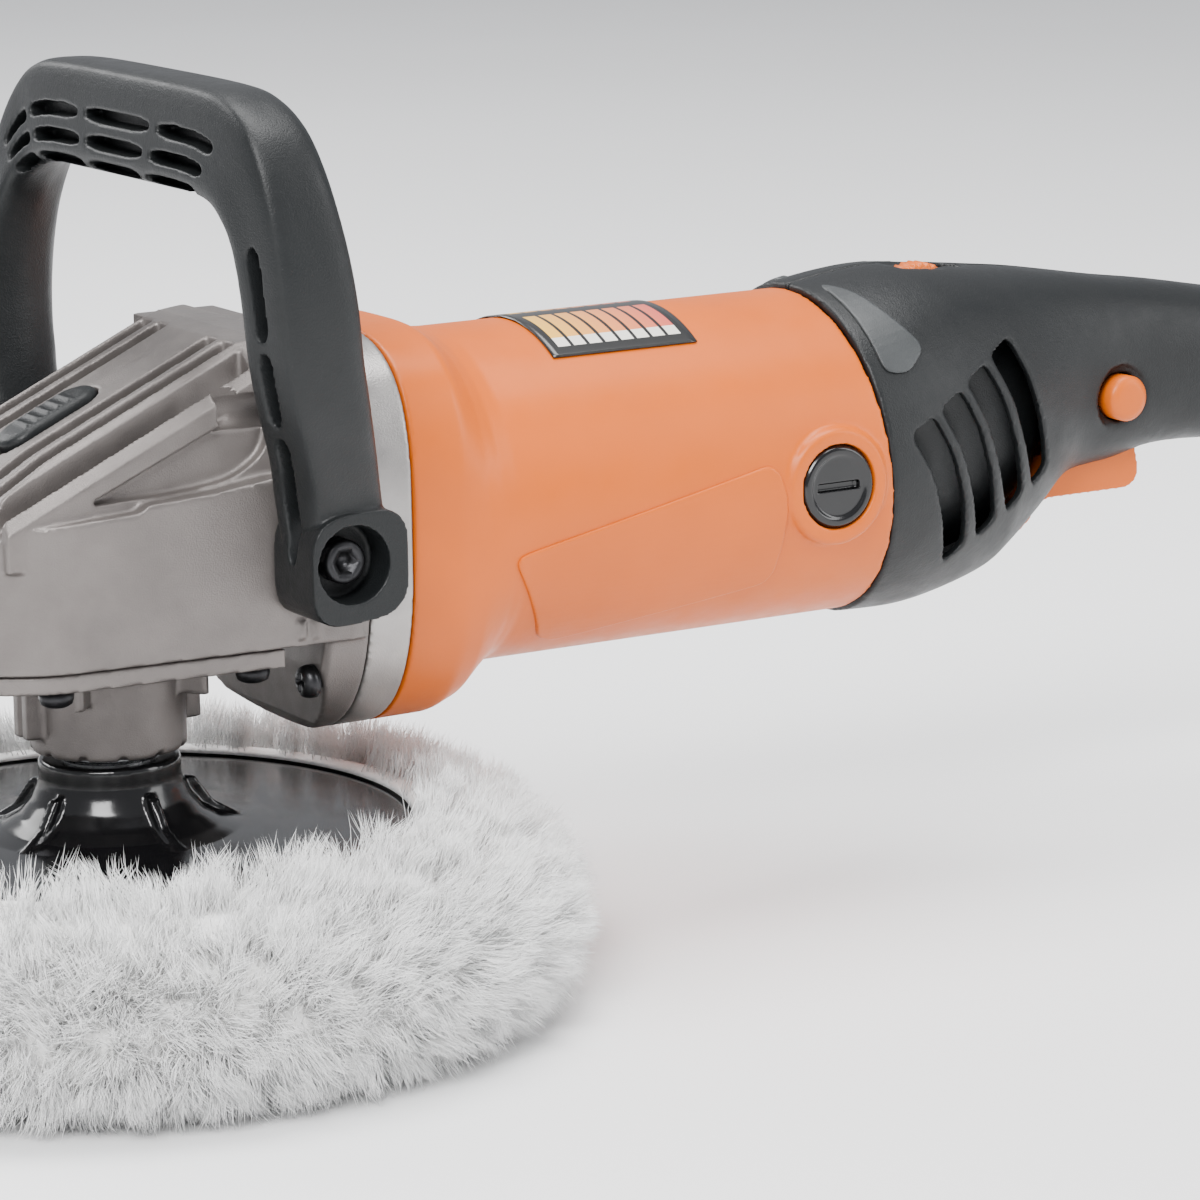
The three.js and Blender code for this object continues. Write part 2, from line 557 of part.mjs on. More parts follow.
// Top and bottom heights, half width and squareness of the grip at stations along X.
const GRIP_STATIONS = [
  { x: 186, top: 156.1, bottom: 72.9, half: 41.6, square: 2 },
  { x: 206, top: 159.4, bottom: 72, half: 40.6, square: 2.1 },
  { x: 222, top: 160.4, bottom: 72.4, half: 37.6, square: 2.2 },
  { x: 242, top: 158.3, bottom: 77, half: 31, square: 2.4 },
  { x: 251, top: 157.3, bottom: 81.5, half: 27.6, square: 2.4 },
  { x: 262, top: 156, bottom: 89.5, half: 23.4, square: 2.4 },
  { x: 274, top: 154, bottom: 99.5, half: 19.6, square: 2.5 },
  { x: 290, top: 151.2, bottom: 102, half: 17.2, square: 2.6 },
  { x: 309, top: 148.3, bottom: 105, half: 16.4, square: 2.6 },
  { x: 344, top: 142, bottom: 102.5, half: 16, square: 2.6 },
  { x: 370, top: 139.5, bottom: 97, half: 17.4, square: 2.5 },
  { x: 384, top: 139, bottom: 92.5, half: 18.8, square: 2.5 },
  { x: 390, top: 136.5, bottom: 95, half: 16.8, square: 2.4 },
  { x: GRIP.end, top: 133, bottom: 99, half: 13.5, square: 2.3 },
];

function gripLoft(inset, end) {
  const stations = GRIP_STATIONS.filter(({ x }) => x < end - 1);
  const last = GRIP_STATIONS.find(({ x }) => x >= end - 1);
  return loft([...stations, { ...last, x: end }].map(({ x, top, bottom, half, square }) => {
    const z = (top + bottom) / 2;
    const rise = (top - bottom) / 2 - inset;
    return oval({ x, z, half: half - inset, up: rise, down: rise, square }, 20);
  }));
}

// One of the slanted air slots in the side of the rear handle.
function airSlot(index) {
  const [dx, dz] = [10.4 * index, 5.2 * index];
  const outline = [[204.6, 123.5], [212, 127], [220.5, 110], [226.5, 91.5], [220.5, 87.5], [214, 105]];
  return prism('y', outline.map(([x, z]) => [x + dx, z + dz]).reverse(), 5, 60);
}

function rearHandle(side) {
  const place = (body) => (side < 0 ? mirrorY(body) : body);
  const outer = gripLoft(0, GRIP.end);
  const room = gripLoft(GRIP.wall, 385.7).intersect(box([0, 385.7], [-80, 80], [0, 200]));
  const half = box([150, 420], side < 0 ? [-80, -GAP / 2] : [GAP / 2, 80], [40, 200]);
  const wells = side > 0 ? 5 : 4;
  const posts = GRIP_SCREWS.map(([x, z]) => rod(wells, [x, 0, z], [x, side * 60, z], 10)
    .intersect(outer));
  const shell = cut(join(cut(outer, room), ...posts).intersect(half).intersect(seamSide(true, GAP)),
    ...[0, 1, 2, 3].map((i) => place(airSlot(i))),
    box([TRIGGER.front - 1, TRIGGER.rear + 1.5], [-6.4, 6.4], [80, 109]),
    box([DIAL.x - 11.6, DIAL.x + 11.6], [-4.1, 4.1], [140, 170]),
    rod(30, [DIAL.x, -8, DIAL.z + 39.4], [DIAL.x, 8, DIAL.z + 39.4], 32),
    rod(8.5, [380, 0, INLET.z], [400, 0, INLET.z]));
  if (side > 0) {
    return cut(shell, ...GRIP_SCREWS.flatMap(([x, z]) => [rod(1.7, [x, -1, z], [x, 12, z], 8),
      rod(3.6, [x, 10, z], [x, 60, z], 10)]));
  }
  return cut(shell, ...GRIP_SCREWS.map(([x, z]) => rod(1.7, [x, 1, z], [x, -11, z], 8)),
    rod(6.4, [BUTTON.x, -40, BUTTON.z], [BUTTON.x, -5, BUTTON.z]));
}

// The trigger about its pivot, with its pin along Y.
function triggerBody() {
  const outline = [[-3, -13.1], [0, -14], [3.5, -11.2], [8, -5.8], [36, -5.8], [39, -3.4], [39, 1],
    [37.5, 7.5], [10.5, 7.5], [1.5, 4], [-3, 0]];
  return join(prism('y', outline, -TRIGGER.half, TRIGGER.half), rod(1.6, [0, -7.6, 0], [0, 7.6, 0], 12));
}

function speedDial() {
  const { radius, half } = DIAL;
  return join(rod(radius, [0, -half, 0], [0, half, 0], 24), rod(2, [0, -7.4, 0], [0, 7.4, 0], 12));
}

function speedModule() {
  const { x, z } = DIAL;
  const ear = box([x - 4, x + 4], [4.3, 7.9], [132, z + 3.4]);
  return cut(join(box([x - 12, x + 9], [-9, 9], [116, 136]), ear, mirrorY(ear)),
    rod(2.2, [x, -12, z], [x, 12, z], 12));
}

function cordBush() {
  const { bore } = INLET;
  const profile = [[bore, 381], [10.3, 381], [10.3, 385.3], [8.2, 385.3], [8.2, 392.4], [9.6, 392.4],
    [8.4, 395.5], [bore, 395.5], [bore, 381]];
  return turned(profile, 16);
}

function rearHandleParts() {
  add('rear_handle_left', rearHandle(-1), 'black');
  add('rear_handle_right', rearHandle(1), 'black');
  const screw = join(rod(3.1, [0, 10.3, 0], [0, 12.6, 0], 12), rod(1.3, [0, -9, 0], [0, 11, 0], 8));
  GRIP_SCREWS.forEach(([x, z], i) => add(`handle_screw_${i + 1}`, screw, 'screw', { at: [x, 0, z] }));
  add('switch_body', join(box([264, 301], [-6.5, 6.5], [115, 137]),
    rod(2.4, [290, 0, 114], [290, 0, 116], 12)), 'black');
  add('speed_module', speedModule(), 'black');
  add('cord_bush', cordBush(), 'black', { at: [0, 0, INLET.z], turn: LINE_TURN });
  add('cord_clamp', cut(box([366, 375], [-8, 8], [105, 111]),
    rod(4.6, [360, 0, INLET.z - 2], [380, 0, INLET.z - 2])), 'black');
  add('trigger', triggerBody(), 'orange', { at: [TRIGGER.x, 0, TRIGGER.z] });
  const button = join(rod(BUTTON.radius, [0, -9.2, 0], [0, 0, 0]),
    rod(BUTTON.radius, [0, -9.2, 0], [0, -10.8, 0], 16, 3.6));
  add('lock_on_button', button, 'orange', { at: [BUTTON.x, -10, BUTTON.z] });
  add('speed_dial', speedDial(), 'orange', { at: [DIAL.x, 0, DIAL.z] });
}

// ---------------------------------------------------------------- spindle and pad

function spindleBody() {
  const profile = [[0, 45.5], [6.2, 45.5], [7, 46.5], [7, 62.3], [10.8, 62.3], [10.8, 67.9], [7.5, 67.9],
    [7.5, 108.8], [5, 108.8], [5, 129], [0, 129]];
  return turned(profile, 20);
}

function backingPlate() {
  const { radius, top, bottom, hubTop, hubRadius } = PLATE;
  const profile = [[11.3, bottom], [radius, bottom], [radius, top - 1.2], [radius - 2, top], [40, top],
    [27, top + 0.6], [21, top + 3.2], [18, top + 7], [hubRadius, top + 12], [hubRadius, hubTop],
    [11.3, hubTop], [11.3, bottom]];
  const rib = prism('y', [[15, top - 2], [30, top - 2], [30, top + 0.8], [24, top + 4], [20, top + 10.5],
    [15, top + 10.5]], -1.3, 1.3);
  const ribs = around(5, (turn) => rib.rotate([0, 0, turn - 85]));
  return join(turned(profile, 36), ...ribs);
}

function woolBonnet() {
  const { radius, lipRadius, lipTop, floor } = BONNET;
  const profile = [[0, 0], [93, 0], [104.5, 2.4], [112.5, 10.5], [radius, 21.5], [112, 33], [102, 42.5],
    [86, lipTop], [75, 46.8], [lipRadius, PLATE.top + GAP],
    [PLATE.radius + GAP, PLATE.top + GAP], [PLATE.radius + GAP, floor], [0, floor]];
  return turned(profile, 36);
}

function spindleParts() {
  const onLine = { group: spindleLine };
  add('spindle', spindleBody(), 'steel', onLine);
  add('crown_gear', crownGear(), 'steel', onLine);
  add('hub_insert', ring(7.3, 11, PLATE.bottom + 4, PLATE.hubTop, 20), 'steel', onLine);
  add('backing_plate', backingPlate(), 'gloss', onLine);
  add('foam_disc', rod(PLATE.radius - 0.5, [0, 0, BONNET.floor + GAP], [0, 0, PLATE.bottom - GAP], 32),
    'foam', onLine);
  add('wool_bonnet', woolBonnet(), 'wool', onLine);
  add('spindle_lower_bearing', ring(7.75, 16, 68.2, 77.2), 'steel', onLine);
  add('bearing_retainer', ring(10, 16, 77.5, 79.8), 'steel', onLine);
  add('spindle_needle_bearing', ring(5.25, 7, 118.5, 129, 16), 'steel', onLine);
}

function spindleLock() {
  const cap = lockBlock(5.8, [-13.6, 13.6], [-3, 1.6]);
  const pin = rod(LOCK.pinRadius, [LOCK.x, 0, LOCK.pinBottom], [LOCK.x, 0, crestAt(LOCK.x)], 16);
  return join(cap, pin.intersect(box([-40, 10], [-9, 9], [100, crestAt(LOCK.x) - 1.5])));
}

// ---------------------------------------------------------------- assembly

function headParts() {
  add('gear_housing', gearHousing(), 'cast');
  add('bearing_box', bearingBox(), 'cast');
  add('bearing_plate', bearingPlate(), 'cast');
  const coverScrew = cut(join(rod(4.1, [0, 0, 0], [0, 0, 3.7], 16), rod(2, [0, 0, 3], [0, 0, 20], 12)),
    box([-5, 5], [-0.5, 0.5], [-1, 1.2]));
  COVER_SCREWS.forEach(([x, y], i) => add(`cover_screw_${i + 1}`, coverScrew, 'screw', { at: [x, y, 83] }));
  const flangeScrew = join(rod(4, [-3.8, 0, 0], [-GAP, 0, 0], 16), rod(2, [-1, 0, 0], [35.7, 0, 0], 12));
  FLANGE_SCREWS.forEach(([y, z], i) => add(`flange_screw_${i + 1}`, flangeScrew, 'screw',
    { at: [FLANGE.front, y, z] }));
  add('spindle_lock', spindleLock(), 'black');
  const spring = coil({ radius: 4.6, wire: 0.7, low: -7.6, high: -3.6, turns: 2 });
  add('spindle_lock_spring', spring, 'steel', { group: lockLine, at: [-4.8, 0, 0] });
}

function ratingLabel() {
  const sheet = alongMotor(ring(BARREL.radius + 0.3, BARREL.radius + 0.6, 111, 152, 64));
  const wedge = [[0, 0], [-26, 40], [-26, 60], [26, 60], [26, 40]];
  return sheet.intersect(prism('x', wedge.map(([y, z]) => [y, z + MOTOR_Z]).reverse(), 100, 160));
}

spindleParts();
headParts();
add('motor_housing', motorHousing(), 'orange');
motorParts();
brushGear();
add('rating_label', ratingLabel(), 'paper');
add('d_handle', dHandle(), 'black');
add('handle_bolt_right', socketBolt(), 'screw', { at: [BOLT.x, BOLT.floor, BOLT.z] });
add('handle_bolt_left', socketBolt(), 'screw',
  { at: [BOLT.x, -BOLT.floor, BOLT.z], turn: [0, 0, Math.PI] });
rearHandleParts();

export default polisher;
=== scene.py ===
import json
import math

import bpy
import numpy as np
from mathutils import Matrix, Vector


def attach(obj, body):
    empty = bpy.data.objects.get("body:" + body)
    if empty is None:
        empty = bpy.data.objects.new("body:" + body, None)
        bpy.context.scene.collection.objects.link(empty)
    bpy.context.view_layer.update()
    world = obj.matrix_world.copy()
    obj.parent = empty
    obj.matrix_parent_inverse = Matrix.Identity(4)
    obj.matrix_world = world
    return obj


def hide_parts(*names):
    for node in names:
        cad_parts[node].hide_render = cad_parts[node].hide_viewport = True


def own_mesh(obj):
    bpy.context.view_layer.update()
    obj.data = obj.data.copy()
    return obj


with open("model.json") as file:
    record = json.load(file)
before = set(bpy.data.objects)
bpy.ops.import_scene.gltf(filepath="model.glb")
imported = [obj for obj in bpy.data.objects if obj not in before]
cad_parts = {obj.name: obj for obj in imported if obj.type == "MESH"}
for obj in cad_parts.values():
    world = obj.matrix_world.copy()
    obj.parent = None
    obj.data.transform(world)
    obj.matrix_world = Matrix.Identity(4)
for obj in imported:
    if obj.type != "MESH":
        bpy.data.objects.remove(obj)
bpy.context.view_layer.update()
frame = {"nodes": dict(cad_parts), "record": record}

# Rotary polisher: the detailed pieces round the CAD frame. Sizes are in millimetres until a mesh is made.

MM = 0.001
COARSE = 1.0

# ---------------------------------------------------------------- camera

AZIMUTH, ELEVATION, ROLL = (math.radians(a) for a in (-31.0, 12.15, -0.85))
CAMERA_AT = Vector((-0.5000, -1.0601, 0.3486))


def add_camera():
    back = Vector((math.sin(AZIMUTH) * math.cos(ELEVATION), -math.cos(AZIMUTH) * math.cos(ELEVATION),
                   math.sin(ELEVATION)))
    right = Vector((math.cos(AZIMUTH), math.sin(AZIMUTH), 0))
    up = back.cross(right)
    right, up = (math.cos(ROLL) * right + math.sin(ROLL) * up,
                 -math.sin(ROLL) * right + math.cos(ROLL) * up)
    data = bpy.data.cameras.new("camera")
    data.sensor_width = 36
    data.lens = 151.2
    data.clip_end = 20
    camera = bpy.data.objects.new("camera", data)
    camera.matrix_world = Matrix.Translation(CAMERA_AT) @ Matrix((right, up, back)).transposed().to_4x4()
    bpy.context.scene.collection.objects.link(camera)
    bpy.context.scene.camera = camera


add_camera()

# ---------------------------------------------------------------- driving dimensions, as in the frame

GAP = 0.3
MOTOR_Z = 114.5
PLATE = {"radius": 89, "top": 44, "bottom": 38, "hub_top": 62, "hub_radius": 17}
SLOPE = 0.46
CREST = {"x": -36, "z": 134, "radius": 57}
CASE = {"nose": -54, "bottom": 91.7, "side": 42}
FLANGE = {"front": 38.3, "split": 49.5, "rear": 61}
BARREL = {"radius": 41.6, "bore": 38.2, "seam": 197.7, "tilt": 0.1024}
BRUSH = {"x": 180.9, "z": 113, "boss": 14.8, "cap": 10.4, "face": 42.8}
BOLT = {"x": 34.1, "z": 114.2, "floor": 53}
LUG = {"front": 23.4, "rear": 48.4, "low": 99.3, "high": 127, "inner": 42.6, "outer": 62.5}
TRIGGER = {"front": 258.5, "rear": 300.5, "x": 261.5, "z": 100}
DIAL = {"x": 233, "z": 148.6, "radius": 11}
BUTTON = {"x": 287, "z": 121, "radius": 6}
LOCK = {"x": -15, "middle": -13}
LOCK_SPRING = {"radius": 4.6, "wire": 0.35, "low": -7.6, "high": -3.6, "turns": 2, "along": -4.8}
COVER_SCREWS = [(-27, -30), (-27, 30), (22, -33), (22, 33)]
FLANGE_SCREWS = [(-33, 81), (33, 81), (-31, 148), (31, 148)]
GRIP_SCREWS = [(216, 90), (250, 144), (314, 118), (352, 124)]
FINS = (13, 21, 29)                          # middles of the grooves between the cooling fins

# ---------------------------------------------------------------- solids


def solid(name, points, faces):
    mesh = bpy.data.meshes.new(name)
    mesh.from_pydata([tuple(c * MM for c in p) for p in points], [], faces)
    mesh.validate()
    obj = bpy.data.objects.new(name, mesh)
    bpy.context.scene.collection.objects.link(obj)
    return obj


def loft(rings, name="loft"):
    """A closed skin through rings of points; its faces point out when the rings run as a right hand."""
    count = len(rings[0])
    points = [tuple(p) for ring in rings for p in ring]
    faces = [(k * count + i, k * count + (i + 1) % count, (k + 1) * count + (i + 1) % count,
              (k + 1) * count + i) for k in range(len(rings) - 1) for i in range(count)]
    faces.append(tuple(reversed(range(count))))
    faces.append(tuple(range((len(rings) - 1) * count, len(rings) * count)))
    return solid(name, points, faces)


def box(x, y, z):
    low, high = z
    ring = [(x[0], y[0]), (x[1], y[0]), (x[1], y[1]), (x[0], y[1])]
    return loft([[(a, b, low) for a, b in ring], [(a, b, high) for a, b in ring]], "box")


def circle(radius, sides=64):
    return [(radius * math.cos(2 * math.pi * i / sides), radius * math.sin(2 * math.pi * i / sides))
            for i in range(sides)]


def rod(radius, start, end, sides=48, end_radius=None):
    a, b = Vector(start), Vector(end)
    turn = Vector((0, 0, 1)).rotation_difference(b - a)
    rings = []
    for centre, r in ((a, radius), (b, radius if end_radius is None else end_radius)):
        rings.append([centre + turn @ Vector((x, y, 0)) for x, y in circle(r, sides)])
    return loft(rings, "rod")


def turned(profile, sides=128, name="turned"):
    """An open profile of (radius, height) points from axis to axis, turned about Z."""
    rings = [[(x, y, h) for x, y in circle(max(r, 0.01), sides)] for r, h in profile]
    return loft(rings, name)


def ring_solid(profile, sides=128, name="ring"):
    """A closed profile of (radius, height) points, in anticlockwise order, turned about Z."""
    count = len(profile)
    points = []
    for i in range(sides):
        c, s = math.cos(2 * math.pi * i / sides), math.sin(2 * math.pi * i / sides)
        points += [(r * c, r * s, h) for r, h in profile]
    faces = []
    for i in range(sides):
        a, b = i * count, (i + 1) % sides * count
        faces += [(a + j, b + j, b + (j + 1) % count, a + (j + 1) % count) for j in range(count)]
    return solid(name, points, faces)


def prism(axis, outline, low, high):
    """An outline drawn in the other two axes, in order, between two places on the named axis."""
    place = {"x": lambda u, v, w: (w, u, v), "y": lambda u, v, w: (u, w, v),
             "z": lambda u, v, w: (u, v, w)}[axis]
    area = sum(a[0] * b[1] - b[0] * a[1] for a, b in zip(outline, outline[1:] + outline[:1]))
    if (area > 0) == (axis == "y"):
        outline = outline[::-1]
    return loft([[place(u, v, w) for u, v in outline] for w in (low, high)], "prism")


def filleted(outline, radius, steps=6):
    """The outline with each corner rounded, as far as its sides leave room."""
    result = []
    for i, corner in enumerate(outline):
        p = Vector(corner)
        before, after = Vector(outline[i - 1]), Vector(outline[(i + 1) % len(outline)])
        reach = min(radius, 0.45 * (before - p).length, 0.45 * (after - p).length)
        start, end = p + (before - p).normalized() * reach, p + (after - p).normalized() * reach
        for k in range(steps + 1):
            t = k / steps
            result.append(tuple((1 - t) ** 2 * start + 2 * t * (1 - t) * p + t * t * end))
    return result


def smooth_rows(rows, steps, closed=False):
    """A Catmull-Rom curve through rows of numbers."""
    rows = np.array(rows, float)
    count = len(rows)
    at = lambda i: rows[i % count] if closed else rows[min(max(i, 0), count - 1)]
    result = []
    for i in range(count if closed else count - 1):
        a, b, c, d = at(i - 1), at(i), at(i + 1), at(i + 2)
        for k in range(steps):
            t = k / steps
            result.append(0.5 * (2 * b + (c - a) * t + (2 * a - 5 * b + 4 * c - d) * t ** 2
                                 + (3 * b - a - 3 * c + d) * t ** 3))
    return result if closed else result + [rows[-1]]


def apply_modifiers(obj):
    bpy.context.view_layer.update()
    graph = bpy.context.evaluated_depsgraph_get()
    mesh = bpy.data.meshes.new_from_object(obj.evaluated_get(graph))
    obj.modifiers.clear()
    old, obj.data = obj.data, mesh
    bpy.data.meshes.remove(old)
    return obj


def combine(body, operation, tools):
    for tool in tools:
        step = body.modifiers.new("step", "BOOLEAN")
        step.operation = operation
        step.solver = "MANIFOLD"
        step.object = tool
        apply_modifiers(body)
        bpy.data.objects.remove(tool)
    return body


def carve(body, *tools):
    return combine(body, "DIFFERENCE", tools)


def fuse(body, *tools):
    return combine(body, "UNION", tools)


def keep_inside(body, *tools):
    return combine(body, "INTERSECT", tools)


def copy_of(obj):
    twin = obj.copy()
    twin.data = obj.data.copy()
    bpy.context.scene.collection.objects.link(twin)
    return twin


def moved(obj, matrix):
    obj.data.transform(matrix)
    if matrix.determinant() < 0:
        obj.data.flip_normals()
    return obj


def shifted(obj, x=0, y=0, z=0):
    return moved(obj, Matrix.Translation(Vector((x, y, z)) * MM))


def rotated(obj, degrees, axis):
    return moved(obj, Matrix.Rotation(math.radians(degrees), 4, axis))


def mirrored(obj):
    return moved(copy_of(obj), Matrix.Diagonal((1, -1, 1, 1)))


def both(tool):
    return [tool, mirrored(tool)]


def soften(obj, voxel, passes=4):
    """Rounds every edge a little, as moulding and casting do."""
    skin = obj.modifiers.new("skin", "REMESH")
    skin.mode = "VOXEL"
    skin.voxel_size = voxel * COARSE * MM
    skin.use_smooth_shade = True
    calm = obj.modifiers.new("calm", "SMOOTH")
    calm.factor = 0.5
    calm.iterations = passes
    return apply_modifiers(obj)


def finish_piece(obj, name, material, body, nodes=()):
    obj.name = name
    obj.data.name = name
    obj.data.materials.clear()
    obj.data.materials.append(material)
    obj.data.shade_smooth()
    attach(obj, body)
    if nodes:
        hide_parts(*nodes)
    return obj


# ---------------------------------------------------------------- materials


class Paint:
    """A node material on one Principled shader, with helpers for the procedural parts."""

    def __init__(self, name, roughness, metallic=0.0, **constants):
        self.material = bpy.data.materials.new(name)
        self.material.use_nodes = True
        self.tree = self.material.node_tree
        self.shader = self.tree.nodes["Principled BSDF"]
        self.shader.inputs["Roughness"].default_value = roughness
        self.shader.inputs["Metallic"].default_value = metallic
        for socket, value in constants.items():
            self.shader.inputs[socket.replace("_", " ")].default_value = value
        self.place = self.tree.nodes.new("ShaderNodeTexCoord").outputs["Object"]

    def link(self, start, end):
        self.tree.links.new(start, end)
        return end

    def noise(self, scale, detail=3.0, roughness=0.55, stretch=None):
        node = self.tree.nodes.new("ShaderNodeTexNoise")
        node.inputs["Scale"].default_value = scale
        node.inputs["Detail"].default_value = detail
        node.inputs["Roughness"].default_value = roughness
        source = self.place
        if stretch:
            mapping = self.tree.nodes.new("ShaderNodeMapping")
            mapping.inputs["Scale"].default_value = stretch
            self.link(source, mapping.inputs["Vector"])
            source = mapping.outputs["Vector"]
        self.link(source, node.inputs["Vector"])
        return node.outputs["Fac"]

    def ramp(self, value, *stops):
        node = self.tree.nodes.new("ShaderNodeValToRGB")
        while len(node.color_ramp.elements) < len(stops):
            node.color_ramp.elements.new(0.5)
        for element, (position, colour) in zip(node.color_ramp.elements, stops):
            element.position = position
            element.color = (*colour, 1) if len(colour) == 3 else colour
        self.link(value, node.inputs["Fac"])
        return node.outputs["Color"]

    def colour(self, value, *stops):
        self.link(self.ramp(value, *stops), self.shader.inputs["Base Color"])

    def rough(self, value, low, high):
        node = self.tree.nodes.new("ShaderNodeMapRange")
        node.inputs["From Min"].default_value = 0.3
        node.inputs["From Max"].default_value = 0.7
        node.inputs["To Min"].default_value = low
        node.inputs["To Max"].default_value = high
        self.link(value, node.inputs["Value"])
        self.link(node.outputs["Result"], self.shader.inputs["Roughness"])

    def calc(self, operation, a, b):
        node = self.tree.nodes.new("ShaderNodeMath")
        node.operation = operation
        for socket, value in zip(node.inputs, (a, b)):
            self.feed(socket, value)
        return node.outputs[0]

    def mix(self, factor, first, second):
        node = self.tree.nodes.new("ShaderNodeMix")
        node.data_type = "RGBA"
        for identifier, value in (("Factor_Float", factor), ("A_Color", first), ("B_Color", second)):
            self.feed(next(s for s in node.inputs if s.identifier == identifier), value)
        return next(s for s in node.outputs if s.identifier == "Result_Color")

    def feed(self, socket, value):
        if isinstance(value, bpy.types.NodeSocket):
            self.link(value, socket)
        else:
            socket.default_value = value

    def bump(self, *layers):
        normal = None
        for height, strength, distance in layers:
            node = self.tree.nodes.new("ShaderNodeBump")
            node.inputs["Strength"].default_value = strength
            node.inputs["Distance"].default_value = distance
            self.link(height, node.inputs["Height"])
            if normal:
                self.link(normal, node.inputs["Normal"])
            normal = node.outputs["Normal"]
        self.link(normal, self.shader.inputs["Normal"])


def shade(colour, factor):
    return tuple(min(1, c * factor) for c in colour)


def moulded(name, colour, roughness, grain, strength, spread=0.12, **constants):
    """Moulded plastic: a fine grain from the tool, with a slow drift in colour and gloss."""
    paint = Paint(name, roughness, **constants)
    drift = paint.noise(38, 4)
    paint.colour(drift, (0.3, shade(colour, 1 - spread)), (0.7, shade(colour, 1 + spread)))
    paint.rough(paint.noise(120, 4), roughness - 0.05, roughness + 0.07)
    paint.bump((paint.noise(grain, 2), strength, 0.0002),
               (paint.noise(grain * 0.18, 2), strength * 0.35, 0.0004))
    return paint.material


def metal(name, colour, roughness, grain, strength, stretch=None, metallic=1.0, spread=0.12):
    """Metal: cast when the grain is even, turned or brushed when it is stretched."""
    paint = Paint(name, roughness, metallic)
    paint.colour(paint.noise(60, 5), (0.3, shade(colour, 1 - spread)), (0.7, shade(colour, 1 + spread)))
    paint.rough(paint.noise(220, 4, stretch=stretch), roughness - 0.07, roughness + 0.08)
    paint.bump((paint.noise(grain, 3, stretch=stretch), strength, 0.0003))
    return paint.material


def wool_paint(name, light, deep):
    paint = Paint(name, 0.95, Sheen_Weight=0.25, Sheen_Roughness=0.6)
    paint.colour(paint.noise(260, 5), (0.3, deep), (0.65, light))
    paint.bump((paint.noise(900, 4), 0.5, 0.0008))
    return paint.material


def label_paint():
    """A plain band of coloured cells between dark edges, drawn from the place on the barrel."""
    paint = Paint("label_print", 0.32, Coat_Weight=0.3)
    split = paint.tree.nodes.new("ShaderNodeSeparateXYZ")
    paint.link(paint.place, split.inputs[0])
    calc, cells = paint.calc, 8
    along = calc("DIVIDE", calc("SUBTRACT", split.outputs["X"], 0.1135), 0.0045)
    cell = calc("FRACT", along, 0)
    inside = calc("MULTIPLY", calc("GREATER_THAN", cell, 0.14), calc("LESS_THAN", cell, 0.92))
    height = calc("SUBTRACT", split.outputs["Z"], MOTOR_Z * MM)
    side = calc("ABSOLUTE", calc("ARCTAN2", split.outputs["Y"], height), 0)
    band = calc("MULTIPLY", calc("GREATER_THAN", side, 0.07), calc("LESS_THAN", side, 0.50))
    span = calc("MULTIPLY", calc("GREATER_THAN", along, 0), calc("LESS_THAN", along, cells))
    mask = calc("MULTIPLY", inside, calc("MULTIPLY", band, span))
    tint = paint.ramp(calc("DIVIDE", along, cells), (0.0, (0.80, 0.46, 0.06)), (0.5, (0.76, 0.26, 0.07)),
                      (1.0, (0.62, 0.09, 0.07)))
    coloured = paint.mix(calc("GREATER_THAN", side, 0.41), tint, (0.75, 0.72, 0.66, 1))
    edged = paint.mix(mask, (0.004, 0.004, 0.004, 1), coloured)
    paint.link(edged, paint.shader.inputs["Base Color"])
    paint.bump((paint.noise(1500, 2), 0.05, 0.0001))
    return paint.material


CAST = metal("cast_grey", (0.17, 0.153, 0.145), 0.42, 2600, 0.34, metallic=0.6)
CAST_BRIGHT = metal("cast_bright", (0.33, 0.315, 0.305), 0.36, 2200, 0.22, metallic=0.8)
ORANGE = moulded("orange_shell", (0.57, 0.105, 0.0), 0.38, 3200, 0.10, spread=0.04, Specular_IOR_Level=0.35)
BLACK = moulded("black_shell", (0.0065, 0.0075, 0.008), 0.42, 2300, 0.5, Specular_IOR_Level=0.3)
ACCENT = moulded("grey_accent", (0.032, 0.035, 0.036), 0.42, 2600, 0.3, Specular_IOR_Level=0.4)
GLOSS = moulded("gloss_black", (0.004, 0.004, 0.0045), 0.16, 1500, 0.04, Specular_IOR_Level=0.5)
LABEL = label_paint()
WOOL = wool_paint("wool_skin", (0.93, 0.925, 0.915), (0.80, 0.79, 0.77))
PILE = wool_paint("wool_pile", (0.975, 0.975, 0.97), (0.93, 0.93, 0.92))
FOAM = moulded("foam_grey", (0.05, 0.055, 0.06), 0.92, 700, 0.9)
SLOT_PAINT = {
    "cast_housing": CAST, "orange_plastic": ORANGE, "black_plastic": BLACK, "gloss_black": GLOSS,
    "steel": metal("steel_turned", (0.55, 0.56, 0.57), 0.28, 1800, 0.12, stretch=(1, 1, 14)),
    "black_screw": metal("screw_black", (0.03, 0.03, 0.032), 0.36, 1600, 0.15, metallic=0.85),
    "laminated_iron": metal("iron_sheets", (0.2, 0.2, 0.21), 0.45, 900, 0.5, stretch=(24, 1, 1)),
    "copper": metal("copper_wire", (0.6, 0.25, 0.11), 0.35, 1200, 0.6, stretch=(1, 16, 16)),
    "brass": metal("brass_sheet", (0.62, 0.44, 0.15), 0.32, 1500, 0.12),
    "carbon": moulded("carbon_block", (0.02, 0.02, 0.02), 0.6, 1800, 0.4),
    "rubber": moulded("rubber_black", (0.02, 0.02, 0.02), 0.66, 1800, 0.35),
    "wool": WOOL, "foam": FOAM, "label": LABEL,
}


